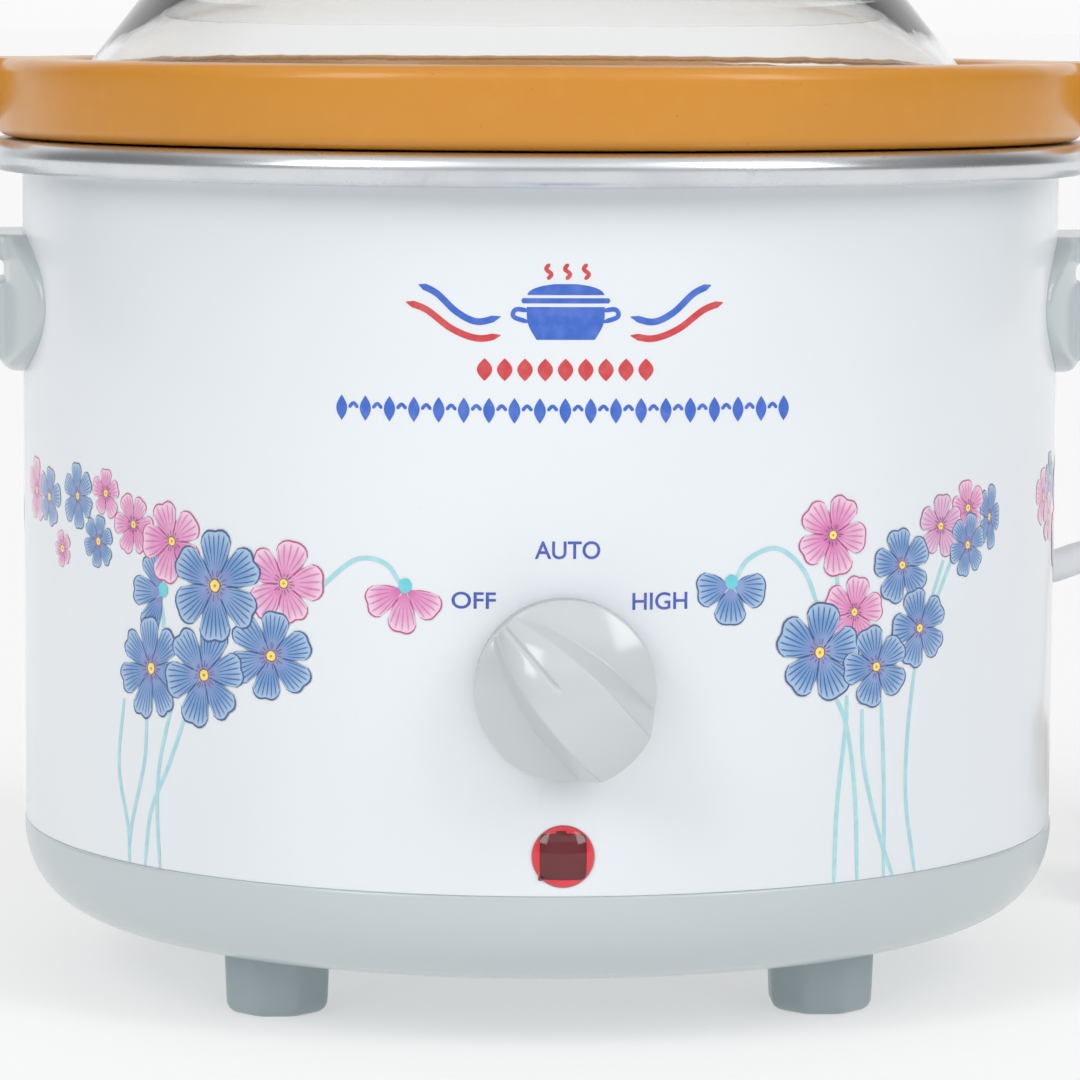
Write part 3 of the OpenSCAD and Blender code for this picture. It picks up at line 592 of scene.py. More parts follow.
def make_light():
    """A white studio: pale surroundings, two soft boxes, a wide strip and an overhead."""
    world = bpy.data.worlds.new("studio")
    bpy.context.scene.world = world
    world.use_nodes = True
    Shading.tree = world.node_tree
    ray = node("TexCoord", "Generated")
    x, y, _ = axes(ray)
    glow = calc("MULTIPLY", span(y, 0.7, -0.7, 0.3, 0.51), span(calc("ABSOLUTE", x), 0.45, 1.0, 1.0, 0.5))
    for *box_shape, power in SOFT_BOXES:
        glow = calc("ADD", glow, calc("MULTIPLY", soft_box(ray, *box_shape), power))
    emitted = node("Background", Color=(1, 1, 1, 1), Strength=glow)
    seen = node("Background", Color=(0.955, 0.955, 0.96, 1), Strength=1.0)
    from_camera, reflected, through = (node("LightPath", f"Is {kind} Ray")
        for kind in ("Camera", "Reflection", "Transmission"))
    behind = calc("MULTIPLY", span(y, 0.5, 0.85), reflected)
    plain = calc("MAXIMUM", calc("MAXIMUM", from_camera, through), behind)
    both = node("MixShader", i0=plain, i1=emitted, i2=seen)
    surface = world.node_tree.nodes["World Output"].inputs["Surface"]
    world.node_tree.links.new(both, surface)
    world.cycles.sampling_method = "MANUAL"
    world.cycles.sample_map_resolution = 1024


def make_floor():
    """A wide, round, pale floor that the cooker stands on."""
    floor_r, n = 40000, 64
    rim = [(floor_r * cos(tau * k / n), floor_r * sin(tau * k / n), 0) for k in range(n)]
    fan = [(0, k + 1, (k + 1) % n + 1) for k in range(n)]
    raw_object("floor", ([(0, 0, 0)] + rim, fan), floor_material())


# ---- mains lead

def coil_point(angle):
    """The coil's centreline at a running angle: an outer turn, an inner one, one on top."""
    floor_z, top_z, hump_z = 4.5, 10.9, 12.3
    outer_r, inner_r, top_r = 43.7, 36.3, 40.0
    r = outer_r + (inner_r - outer_r) * ease((angle - 225) / 60)
    r += (top_r - inner_r) * ease((angle - 525) / 60)
    z = floor_z + (hump_z - floor_z) * ease((angle - 525) / 60)
    z += (top_z - hump_z) * ease((angle - 637) / 30)
    z += (11.2 - top_z) * ease((angle - 870) / 30)
    a = radians(angle)
    return Vector((COIL_MID.x + r * cos(a), COIL_MID.y + r * sin(a), z))


def lead_path():
    """Centreline of the whole lead, in millimetres."""
    down = spline([Vector(p) / MM for p in CORD_ROUTE], 4)
    turns = [coil_point(angle) for angle in range(-72, 900, 4)]
    tail = spline([coil_point(900)] + [Vector(p) / MM for p in TAIL_ROUTE], 3)
    return down + turns + tail


def make_plug():
    """The plug lying on its back: its body with finger grips, a fuse door and a ribbed nose."""
    width, depth, height, waist = 48, 46, 20, 1.6

    def section(z, inset):
        half_w, half_d, r = width / 2 - inset, depth / 2 - inset, 9 - inset * 0.5
        corners = [(-half_w, -half_d, r), (half_w, -half_d, r), (half_w - waist, 0, 14),
            (half_w, half_d, r), (-half_w, half_d, r), (-half_w + waist, 0, 14)]
        return [(u, v, z) for u, v in rounded(corners, n=7)]

    body = loft([section(z, inset) for z, inset in ((0, 3.2), (0.4, 2.0), (1.2, 0.9), (2.6, 0.2),
        (4.0, 0), (height - 1.2, 0), (height - 0.4, 0.35), (height, 1.2))])
    door = prism(oblong(-4, 9, 1, 11, 1, n=3), height - 1, height - 0.02)
    nose = [(0, -3), (8.4, -3), (8.4, 0.6)]
    for i in range(5):
        at, r = 1.2 + i * 3.1, 7.4 - i * 0.5
        nose += [(r - 0.9, at), (r - 0.9, at + 0.5), (r, at + 0.9), (r - 0.2, at + 2.6)]
    nose += [(4.9, 17.4), (4.5, 18), (0, 18)]
    whole = merged(body, door, moved(revolve(nose, 40), shift(0, depth / 2, 9) @ spin(-90, "X")))
    return make("plug_shell", moved(whole, shift(PLUG_X, PLUG_Y)), WHITE_PLASTIC, ["plug_body"])


def make_pins():
    """Three flat pins with bevelled tips."""
    def pin(x, y0, y1, half_w, length):
        return loft([[(u, v, PLUG_TOP + z) for u, v in oblong(x - half_w + inset, x + half_w - inset,
            y0 + inset, y1 - inset, 0.5, n=3)] for z, inset in ((0, 0), (length - 1.6, 0),
            (length - 0.5, 0.5), (length, 1))])

    pins = [pin(-11.1, 7, 11, 3.2, 17.7), pin(11.1, 7, 11, 3.2, 17.7), pin(0, -17.2, -9.2, 2, 22.7)]
    return make("plug_blades", moved(merged(*pins), shift(PLUG_X, PLUG_Y)), BRASS, ["plug_pins"])


def make_tie():
    """A fabric strap pulled round the coil's three turns, with its end lapped over."""
    r, mid_r, thick, half_w = CORD_D / 2 + 0.35, 40, 0.8, 5

    def outline(grow):
        g = r + grow
        return (arc(3.7, 4.5, g, -90, 30, 8) + arc(0, 10.9, g, 30, 150, 8)
            + arc(-3.7, 4.5, g, 150, 270, 8))

    def ring(grow, side):
        return [(mid_r + u, side, max(v, 0.02 if grow else 0.5)) for u, v in outline(grow)]

    rings = [ring(0, -half_w), ring(thick, -half_w), ring(thick, half_w), ring(0, half_w)]
    strap = loft(rings + rings[:1], caps=False)
    lap = [[(mid_r + u, side, v) for u, v in outline(thick + lift)[3:12]]
        for side, lift in ((-4.4, 0), (-4.4, 0.7), (4.4, 0.7), (4.4, 0))]
    end = loft(lap + lap[:1], caps=False)
    n = len(lap[0])
    end[1][:] = [f for f in end[1] if abs(f[0] % n - f[1] % n) == 1]
    end[1].extend([(0, n, 2 * n, 3 * n), (4 * n - 1, 3 * n - 1, 2 * n - 1, n - 1)])
    put = shift(COIL_MID.x, COIL_MID.y) @ spin(-30)
    return make("lead_tie", moved(merged(strap, end), put), TIE_FABRIC, ["coil_tie"],
        sharp=50)


def make_lead():
    """The mains lead: out of its boot, down to the floor, three turns of coil, and its plug."""
    path = lead_path()
    lead = make("mains_lead", sweep(path, CORD_D / 2, 20), CORD_JACKET,
        ["power_cord", "cord_coil", "cord_tail"])
    make_plug()
    make_pins()
    make_tie()


def make_boot():
    """Tapered, ribbed boot where the lead leaves the shell."""
    start, tip = SHELL_R - 6.5, SHELL_R + 28
    profile = [(0, start), (6.4, start), (6.4, SHELL_R - 0.2), (9.2, SHELL_R + 0.3), (9.2, SHELL_R + 2.2),
        (8.6, SHELL_R + 3), (7.7, SHELL_R + 3.1)]
    for i in range(7):
        at, r = SHELL_R + 3.6 + i * 3.2, 7.6 - i * 0.4
        profile += [(r, at), (r - 0.25, at + 1.9), (r - 1.1, at + 2.2), (r - 1.2, at + 2.9)]
    profile += [(5.0, tip - 2), (4.7, tip - 0.4), (4.2, tip), (0, tip)]
    make("lead_boot", moved(revolve(profile, 48), LEAD_OUT), GREY_PLASTIC, ["strain_relief"],
        sharp=40)


# ---- housing

def make_shell():
    """Enamelled tube, its edges eased, with holes for what is fixed to it."""
    profile = oblong(SHELL_R - 0.8, SHELL_R, SHELL_LOW, SHELL_TOP, 0.2, 0.3, 0.3, 0.2, n=3)
    holes = [moved(bar(r, 80, 130), put) for r, put in ((4.95, out_of_front(KNOB_Z)),
        (5, out_of_front(LAMP_Z)), (6.6, LEAD_OUT))]
    make_cut("enamel_shell", revolve(profile, 360, closed=True), ENAMEL, holes, ["outer_shell"])


def make_base():
    """Moulded base: eased joint edge, elliptical skirt, nut recess and twelve vents."""
    recess, wall, round_w, lip, bore = 8, 2.4, 18, 2.6, 2.55
    flat_r, lip_r = BASE_R - round_w, SHELL_R - 0.8 - wall
    outer = [(x, z) for x, z in quarter(flat_r, SHELL_LOW, round_w, SHELL_LOW - BASE_LOW, 48, 2.2)
        if z < SHELL_LOW - 0.5]
    under = rounded([(bore, BASE_LOW + recess, 0), (15, BASE_LOW + recess, 0.8), (16, BASE_LOW, 0.8),
        (40, BASE_LOW, 0)], closed=False)
    joint = rounded([(BASE_R, SHELL_LOW - 2, 0), (BASE_R, SHELL_LOW, 0.8),
        (SHELL_R - 0.85, SHELL_LOW, 0.0), (SHELL_R - 0.85, SHELL_LOW + lip, 0.5),
        (lip_r, SHELL_LOW + lip, 0.5), (lip_r, SHELL_LOW - 1, 0)], closed=False)
    inside = quarter(flat_r, SHELL_LOW - 1, round_w - wall - 1, SHELL_LOW - 1 - BASE_LOW - wall)
    floor_in = [(18.4, BASE_LOW + wall), (17.4, BASE_LOW + wall + recess),
        (bore, BASE_LOW + wall + recess)]
    profile = under + outer + joint[1:-1] + inside[::-1][1:] + floor_in
    vent = prism([(36, -1.75), (62, -1.75), (62, 1.75), (36, 1.75)], BASE_LOW - 1, BASE_LOW + 2 * wall)
    vents = [moved(vent, at_azimuth(a)) for a in range(15, 360, 30)]
    make_cut("base_moulding", revolve(profile, 300, closed=True), GREY_PLASTIC, [merged(*vents)],
        ["base_cover"])


def make_foot(name, azimuth):
    """Eight-sided foot with softened corners, a slight draft and a bevelled sole."""
    across, screw_r, bore, top = 21.5, 4.2, 1.7, BASE_LOW - 0.02

    def section(z, inset):
        reach = (across / 2 - inset) / cos(pi / 8)
        corners = [(reach * cos(radians(22.5 + 45 * k)), reach * sin(radians(22.5 + 45 * k)), 3.4)
            for k in range(8)]
        return [(u, v, z) for u, v in rounded(corners, n=4)]

    n = len(section(0, 0))

    def hole(z, r):
        return [(r * cos(tau * k / n), r * sin(tau * k / n), z) for k in range(n)]

    verts, faces = loft([hole(6, bore), hole(6, screw_r), hole(0.5, screw_r), hole(0, screw_r + 0.5),
        section(0, 2.5), section(0.25, 1.7), section(0.9, 0.95), section(1.9, 0.5), section(3.2, 0.38),
        section(top, 0.0), hole(top, bore)], caps=False)
    last = len(verts) - n
    faces += [(k, (k + 1) % n, last + (k + 1) % n, last + k) for k in range(n)]
    make(name + "_moulding", moved((verts, faces), at_azimuth(azimuth) @ shift(FOOT_R)), FOOT_PLASTIC,
        [name], sharp=40)


# ---- handles

LEDGE_H = 5.2


def handle_pad():
    """The handle's oval pad, curved round the shell, with a shallow hollow under the ledge."""
    face_r, oval_half, ring_r, depth = 69.5, 16, 108, 1.3
    front, mid_z, under = SHELL_R + 5.3, (HANDLE_LOW + HANDLE_TOP + 1) / 2, HANDLE_TOP - LEDGE_H
    face = oblong(20, face_r, HANDLE_LOW, HANDLE_TOP, 0, 3.2, 1.2, 0, n=6)
    oval = [(HANDLE_HALF * cos(tau * k / 96), oval_half * sin(tau * k / 96)) for k in range(96)]
    groove = rounded([(ring_r, under - 5.2, 0.8), (ring_r + 9, under - 7.5, 0), (ring_r + 9, under, 0),
        (ring_r, under, 1.6)], n=5)
    pad = raw_object("handle_pad", moved(revolve(face, 240, closed=True), shift(front - face_r)),
        GREY_PLASTIC)
    smooth(pad.data, 30)
    combine(pad, [loft([[(x, u, mid_z + v) for u, v in oval] for x in (80, 140)])], "INTERSECT",
        "MANIFOLD")
    combine(pad, [moved(revolve(groove, 480, closed=True), shift(front - depth - ring_r))], "DIFFERENCE",
        "MANIFOLD")
    return pad


def make_handle(side):
    """Side handle in one moulding: pad, ledge and boss, blended where they meet."""
    root, ledge_half, boss_half, boss_r, boss_z = SHELL_R - 6, 19, 17, SHELL_R + 10.5, HANDLE_LOW + 3
    top, under = HANDLE_TOP, HANDLE_TOP - LEDGE_H
    plan = oblong(root, HANDLE_REACH, -ledge_half, ledge_half, 1, 10, 10, 1, n=8)
    ledge = loft([[(u - max(u - SHELL_R, 0) / 28 * i, v * (1 - i / ledge_half), z) for u, v in plan]
        for z, i in ((under, 1.0), (under + 0.6, 0.3), (under + LEDGE_H / 2, 0), (top - 0.6, 0.3),
        (top, 1.0))])
    profile = oblong(root, boss_r, boss_z, boss_z + 16, 1, 6, 6, 1, n=8)
    boss = loft([[(u - max(u - SHELL_R, 0) / 10 * i, v, z) for u, z in profile]
        for v, i in ((-boss_half, 1.5), (-boss_half + 1.2, 0.4), (-boss_half + 3, 0), (boss_half - 3, 0),
        (boss_half - 1.2, 0.4), (boss_half, 1.5))])
    handle = handle_pad()
    handle.name = "handle_moulding_" + side
    combine(handle, [ledge, boss], "UNION", "MANIFOLD")
    blend = handle.modifiers.new("blend", "REMESH")
    blend.mode = "VOXEL"
    blend.voxel_size = 0.6 * MM
    relax = handle.modifiers.new("relax", "SMOOTH")
    relax.factor = 0.5
    relax.iterations = 6
    apply_modifiers(handle)
    combine(handle, [bar(SHELL_R + 0.03, 100, 190, 360)], "DIFFERENCE", "MANIFOLD")
    if side == "left":
        handle.data.transform(Matrix.Scale(-1, 4, (1, 0, 0)))
    smooth(handle.data, 38)
    settle(handle, "root", ["handle_" + side])


# ---- heating well and crock

def make_well():
    """Spun well with its tapered wall, rim flange and hollow rolled bead."""
    t, low_r, high_r, corner, bead = 1.0, 88, 97.5, 18, 3.3
    floor_z = WELL_LOW + t
    wall_low, wall_high = floor_z + corner, RIM_Z - 6
    mid_r = BEAD_R - bead
    outside = ([(0, WELL_LOW)] + quarter(low_r - corner, wall_low, corner + t, corner + t, 16)
        + [(high_r + t, wall_high), (high_r + 4, RIM_Z - t), (mid_r, RIM_Z - t)]
        + arc(mid_r, RIM_Z - bead, bead - t, 80, -80, 16) + [(SHELL_R + 0.1, RIM_Z - 2 * bead + t),
        (SHELL_R + 0.1, RIM_Z - 2 * bead + 0.2)])
    bead_skin = arc(mid_r, RIM_Z - bead, bead, -90, 90, 32)
    inside = ([(high_r + 3.4, RIM_Z), (high_r + 2.0, RIM_Z - 0.5), (high_r + 0.9, RIM_Z - 2),
        (high_r, wall_high)] + quarter(low_r - corner, wall_low, corner, corner, 16)[::-1]
        + [(0, floor_z)])
    make("spun_well", revolve(outside + bead_skin + inside, 360), ALUMINIUM, ["heating_well"],
        sharp=50)


def lug_out(angle):
    """How far the crock's rim stands out at an angle from +X: its two lugs, blended in."""
    lug_half, corner, root = 21, 9, 5
    s = max(abs(sin(radians(angle))), 1e-3)
    return soft_max(CROCK_R, soft_min(LUG_REACH, lug_half / s, corner), root)


def make_crock():
    """Glazed crock: tapered wall, heavy rim with the lid's ledge, two lugs grown out of it."""
    seat, top = RIM_Z + 0.4, CROCK_TOP
    ledge_z, ledge_r, high_r, low_r, wall, corner = top - 5.6, LID_R + 4, 94.6, 85, 7, 18
    outer = [(0, CROCK_LOW + 0.8), (60, CROCK_LOW + 0.8), (61.5, CROCK_LOW)]
    outer += quarter(low_r - corner, CROCK_LOW + corner, corner, corner, 16)
    outer += [(high_r, RIM_Z - 4), (high_r + 0.7, RIM_Z - 1.4), (high_r + 3.2, seat), (CROCK_R - 6, seat)]
    edge = arc(CROCK_R - 3, top - 3, 3, 0, 90, 9)
    plain = arc(CROCK_R - 2.8, seat + 2.8, 2.8, -80, 0, 9) + [(CROCK_R, seat + 7),
        (CROCK_R, top - 6)] + edge
    with_lug = arc(CROCK_R - 4.5, seat + 4.5, 4.5, -80, -30, 4) + arc(CROCK_R - 3, top - 6, 3.6, -70, 0,
        6) + edge
    inner = [(ledge_r + 1.6, top), (ledge_r + 0.5, top - 0.4), (ledge_r, top - 1.4),
        (ledge_r, ledge_z + 0.6), (ledge_r - 0.6, ledge_z), (high_r - wall + 2, ledge_z),
        (high_r - wall + 0.5, ledge_z - 0.6), (high_r - wall, ledge_z - 2)]
    inner += quarter(low_r - wall - 14, CROCK_LOW + 21.5, 14, 14, 14)[::-1]
    inner += [(0, CROCK_LOW + 7.5)]

    rows = []
    for a in [k / 2 for k in range(720)]:
        near_lug_side = min(abs(a - side) for side in (10, 170, 190, 350)) < 6
        if a % 1 and not near_lug_side:
            continue
        turned = radians(a + CROCK_TURN)
        grow = max(0.0, lug_out(a) - CROCK_R)
        part = min(1.0, grow / 6)
        rim = [(r0 + (r1 - r0) * part + (grow if i > 4 else 0), z0 + (z1 - z0) * part) for i,
            ((r0, z0), (r1, z1)) in enumerate(zip(plain, with_lug))]
        rows.append([(r * cos(turned), r * sin(turned), z) for r, z in outer + rim + inner])
    count, total = len(rows[0]), len(rows) * len(rows[0])
    faces = [(a, (a + count) % total, (a + count + 1) % total, a + 1) for a in range(total)
        if (a + 1) % count]
    make("stoneware_crock", ([p for row in rows for p in row], faces), STONEWARE, ["crock"],
        "crock", 45)


# ---- lid

def make_on_lid(name, profile, steps, closed, material, stands_for, sharp=32):
    """A turned piece of the lid."""
    make(name, moved(revolve(profile, steps, closed), shift(LID_X)), material, [stands_for], "lid",
        sharp)


def make_glass():
    """Pressed glass lid: flat flange, conical shoulder and a dome that thins towards it."""
    shoulder_r, flange, hole, middle, wall = 78.5, 4, 3.2, 3.0, 1.9
    shoulder_z = LID_LOW + 21.6
    rise = LID_TOP - shoulder_z
    dome_r = (shoulder_r ** 2 + rise ** 2) / (2 * rise)
    spread = degrees(asin(shoulder_r / dome_r))
    tip = degrees(asin(hole / dome_r))
    foot_r, foot_z = LID_R - 3.8, LID_LOW + flange
    cone_r, cone_z = shoulder_r + 0.6, shoulder_z - 0.8
    slope = Vector((cone_r - foot_r, cone_z - foot_z)).normalized()
    lean = slope.x / slope.y
    in_r, in_z = cone_r - wall * slope.y, cone_z + wall * slope.x
    foot_in = in_r + lean * (LID_LOW - in_z) - 1.0
    outside = rounded([(foot_in, LID_LOW, 0), (LID_R - 0.3, LID_LOW, 0.4), (LID_R, LID_LOW + 1, 0.8),
        (LID_R, foot_z, 1.2), (foot_r, foot_z, 1.2), (cone_r, cone_z, 2.5),
        (shoulder_r - 4, shoulder_z + 1.2, 0)], closed=False, n=6)
    top = arc(0, LID_TOP - dome_r, dome_r, 90 - spread + 3.2, 90 - tip, 36)
    fall = LID_TOP - middle - in_z
    under_r = (in_r ** 2 + fall ** 2) / (2 * fall)
    under_spread = degrees(asin(in_r / under_r))
    under_tip = degrees(asin(hole / under_r))
    under = arc(0, LID_TOP - middle - under_r, under_r, 90 - under_tip, 90 - under_spread, 36)
    make_on_lid("lid_glass", outside[1:-1] + top + under + outside[:1], 360, True, GLASS, "glass_lid",
        30)


def make_lid_knob():
    """Turned lid knob with a waisted neck and dished crown, and the collar under it."""
    base, z0, crown, bore = high("lid_knob_seat").z, low("lid_knob").z, high("lid_knob").z, 2.05
    make_on_lid("lid_collar", oblong(bore, 13, base - 3, base, 0, 0.5, 0.9, 0, n=4), 128, True,
        FOOT_PLASTIC, "lid_knob_seat")
    profile = rounded([(bore, z0, 0), (9.3, z0, 0.5), (8.6, z0 + 1.5, 1), (7.9, z0 + 5, 4),
        (10, z0 + 9, 4), (17.6, z0 + 10.8, 2), (19, z0 + 13, 1.4), (18.2, z0 + 16.4, 1.6),
        (14.6, crown - 2.9, 0)], closed=False, n=5)
    dish = [(r, crown - 0.0145 * r * r) for r in (13, 11, 9, 7, 5, 3, 1.5, 0)]
    make_on_lid("lid_grip", [(0, z0 + 14), (bore, z0 + 14)] + profile + dish, 128, False, GREY_PLASTIC,
        "lid_knob")


# ---- control and lamp

def knob_height(u, v):
    """Height of the control knob's face above its back; u runs along the grip ridge."""
    full, dome_h, dome_fall, blend = KNOB_FRONT - KNOB_BACK, 11.4, 62, 0.3
    ridge_half, widest_at, ridge_reach, ridge_wall = 6.6, 8, 26.4, 2.7
    back_r, back_at, line_depth, line_half = 26.0, 3, 0.55, 0.42
    dome = dome_h - hypot(u, v) ** 2 / dome_fall
    half = ridge_half * sqrt(max(0.0, 1 - ((u - widest_at) / ridge_reach) ** 2))
    spine = full - back_r + sqrt(max(1.0, back_r * back_r - (u - back_at) ** 2))
    tip = ease((2 - u) / 16)
    cross = abs(v) / max(half, 0.6)
    spine -= 1.1 * tip * cross ** 2.2 + 0.35 * (1 - tip) * cross ** 3
    spine -= line_depth * ease((-1.5 - u) / 2.5) * exp(-(v / line_half) ** 2)
    return soft_max(dome, spine - max(0.0, abs(v) - half) * ridge_wall, blend)


def make_control_knob():
    """Control knob: domed skirt with a boat-shaped ridge whose point carries the index line."""
    count, steps, at_rest, edge_r = 92, 480, 43, KNOB_R - 0.15
    turns = [tau * k / steps for k in range(steps)]

    def ring(r, drop=0.0, z=None):
        """Points round the knob at a radius, under its face's edge or at a height."""
        face_r = min(r, edge_r)
        return [(-r * sin(t), r * cos(t), z if z is not None
            else knob_height(-face_r * cos(t), face_r * sin(t)) - drop) for t in turns]

    rings = [ring(edge_r * i / count) for i in range(1, count + 1)]
    rings += [ring(edge_r + grow, drop) for grow, drop in ((0.09, 0.12), (0.15, 0.4))]
    rings += [ring(edge_r + grow, z=z) for grow, z in ((0.15, 0.35), (-0.2, 0), (-2.8, 0), (-2.8, 3.4))]
    verts, faces = loft(rings, caps=False)
    middle = len(verts)
    faces += [(middle, k, (k + 1) % steps) for k in range(steps)]
    faces.append(tuple(range(middle - steps, middle)))
    put = out_of_front(KNOB_Z) @ spin(at_rest) @ shift(0, 0, KNOB_BACK)
    make("heat_knob", moved((verts + [(0, 0, knob_height(0, 0))], faces), put), KNOB_PLASTIC,
        ["control_knob"], "knob", 60)


def make_lamp():
    """Pilot lamp's cap: clear red, strongly crowned, with a short stem through the shell."""
    face, stem, sag, back = LAMP_FRONT, 4.95, 1.8, SHELL_R + 0.02
    crown = [(r, face - sag * (r / 5.7) ** 2) for r in [0.3 * k for k in range(19)]]
    cap = crown + rounded([(5.7, face - sag, 0), (LAMP_R, face - sag - 0.1, 0.1), (LAMP_R, back, 0),
        (stem, back, 0), (stem, 103, 0.3), (4.4, 103, 0), (4.4, back + 0.05, 0)], closed=False, n=4)
    cap += [(0, back + 0.05)]
    clear = red_lens("red_acrylic", srgb(255, 186, 192), 1.0, 0.02)
    make("lamp_cap", moved(revolve(cap, 96), out_of_front(LAMP_Z)), clear, ["lamp_lens"],
        sharp=40)


def make_lamp_chamber():
    """What shows through the lamp's cap: a red disc with a painted glow, and a dark square core with its
    key.
    """
    low_z, step_z, top_z, half = SHELL_R + 0.12, SHELL_R + 0.22, SHELL_R + 0.3, 4.5
    # The red disc's emission is a painted glow: it brightens the red as though the lamp were lit.
    glowing_red = red_lens("red_surround_painted_glow", srgb(255, 84, 98), 0.0, 0.3, 0.35)
    dark = red_lens("dark_chamber", srgb(140, 64, 76), 0.0, 0.25)
    core = merged(*[prism(oblong(*sides, r, n=4), step_z - 0.05, top_z)
        for *sides, r in ((-half, half, -half, half, 1.0), (-half - 0.35, -half + 0.7, -half - 0.2,
        -half + 0.7, 0.3), (-1.4, 0.6, half - 0.1, half + 0.5, 0.1))])
    make("lamp_surround", moved(bar(5.8, low_z, step_z, 64), out_of_front(LAMP_Z)), glowing_red)
    make("lamp_chamber", moved(core, out_of_front(LAMP_Z)), dark)


# ---- printed band

def flower_ink(name, deep, middle, pale, line, veins, strength):
    """Petal ink: darker at the heart, paler at the rim, with drawn veins and an outline."""
    material = principled(name, middle, 0.3, Coat_Weight=0.5, Coat_Roughness=0.08)
    u, v, _ = axes(node("TexCoord", "UV"))
    wander = noise(260, 1)
    tone = mix(span(v, 0.1, 0.5), deep, middle)
    tone = mix(span(v, 0.55, 1.0), tone, pale)
    tone = mix(patches(150, 2, 0.35, 0.75, 0.0, 0.35), tone, pale)
    phase = calc("ADD", calc("MULTIPLY", u, tau * veins), wander)
    stripe = span(calc("SINE", phase), 0.45, 0.85)
    stripe = calc("MULTIPLY", stripe, span(v, 0.22, 0.42))
    stripe = calc("MULTIPLY", stripe, span(v, 0.84, 0.95, strength, 0.0))
    side = calc("ABSOLUTE", calc("SUBTRACT", u, 0.5))
    edge = calc("MULTIPLY", span(side, 0.45, 0.475), span(v, 0.25, 0.45))
    edge = calc("MAXIMUM", edge, span(v, 0.945, 0.965))
    drawn = calc("MAXIMUM", stripe, calc("MULTIPLY", edge, 0.9))
    return wire_up(material, mix(drawn, tone, line))


def plain_ink(name, colour, variation=0.08):
    """Screen-printed ink with slightly uneven cover."""
    material = principled(name, colour, 0.3, Coat_Weight=0.5, Coat_Roughness=0.08)
    lighter = tuple(min(1.0, c + variation) for c in colour)
    return wire_up(material, mix(patches(420, 3, 0.35, 0.75), colour, lighter))


# Millimetres of arc to a degree, how far ink stands proud, and the step between layers of it
ARC_MM = pi * SHELL_R / 180
INK, LAYER = 0.05, 0.012


def on_shell(across, z, lift):
    """A point at an arc length from the front and a height, a little proud of the shell."""
    a, r = across / SHELL_R, SHELL_R + lift
    return r * sin(a), -r * cos(a), z


def petal(mid, x, z, length, half, wide, lift, rng):
    """One petal as a grid of (vertices, faces, pattern map), round a flower's centre."""
    across, along, start = 12, 7, 0.1
    tilt, notch = rng.uniform(-0.06, 0.06), rng.uniform(0.02, 0.09)
    length *= rng.uniform(0.93, 1.05)
    verts, uvs = [], []
    for v in [i / along for i in range(along + 1)]:
        for u in [j / across for j in range(across + 1)]:
            s = 2 * u - 1
            body = 0.52 + 0.48 * (1 - abs(s) ** 2.5) ** 0.5
            rim = length * (body + tilt * s - notch * exp(-(s / 0.22) ** 2))
            r = length * start + (rim - length * start) * v
            a = mid + s * half * (0.72 + 0.28 * sin(pi * min(v, 0.9) / 1.3))
            verts.append(on_shell(x + r * cos(a) * wide, z + r * sin(a), lift + 0.004 * v))
            uvs.append((u, v))
    return verts, grid(along + 1, across), uvs


def flower(sheets, kind, azimuth, z, size, petals, turn, wide, layer, rng, fan=None):
    """Adds one flower to the sheets of print; fan limits the petals' directions."""
    x, length, lift = azimuth * ARC_MM, size / 2, INK + 0.01 + LAYER * layer
    first, last = fan or (turn, turn + 360 * (petals - 1) / petals)
    half = radians((last - first) / (2 * max(petals - 1, 1))) * 1.02
    for k in range(petals):
        mid = radians(first + (last - first) * k / max(petals - 1, 1))
        sheets[kind].append(petal(mid, x, z, length, half, wide, lift + LAYER / 10 * (k % 3), rng))
    if not fan:
        heart = max(0.75, 0.1 * length)
        for part, grow, rise in (("rim", 1.28, 0.006), ("heart", 1.0, 0.008), ("dot", 0.3, 0.010)):
            sheets[part].append(dot(x, z, heart * grow, wide, lift + rise, rng))
        for k in range(petals * 3):
            a = radians(turn + 13 + 360 * k / (petals * 3)) + rng.uniform(-0.12, 0.12)
            near, far = heart * 1.5, heart * rng.uniform(2.1, 2.9)
            sheets["hairs"].append(ribbon([(x + r * cos(a) * wide, z + r * sin(a))
                for r in (near, (near + far) / 2, far)], 0.2, lift + 0.007))


def dot(x, z, r, wide, lift, rng):
    """A small, slightly uneven disc."""
    n = 20
    rim = [r * rng.uniform(0.93, 1.05) for _ in range(n)]
    verts = [on_shell(x, z, lift)] + [on_shell(x + rim[k] * cos(tau * k / n) * wide,
        z + rim[k] * sin(tau * k / n), lift) for k in range(n)]
    return verts, [(0, k + 1, (k + 1) % n + 1) for k in range(n)]


def ribbon(points, width, lift, ends=0.35):
    """A drawn stroke along points (arc, z); its ends narrow to a share of the width."""
    path = spline(points, 6)
    verts, count = [], len(path)
    for i, p in enumerate(path):
        way = (path[min(i + 1, count - 1)] - path[max(i - 1, 0)]).normalized()
        edge = min(1.0, min(i, count - 1 - i) / max(count * 0.08, 1.0))
        half = width / 2 * (ends + (1 - ends) * ease(edge))
        for side in (1, -1):
            verts.append(on_shell(p.x - way.y * half * side, p.y + way.x * half * side, lift))
    return verts, grid(count, 1)


def panel(rows, lift, columns=8):
    """A filled shape from rows (z, from, to) of arc lengths, lowest first."""
    verts = [on_shell(x0 + (x1 - x0) * k / columns, z, lift) for z, x0, x1 in rows
        for k in range(columns + 1)]
    return verts, grid(len(rows), columns)


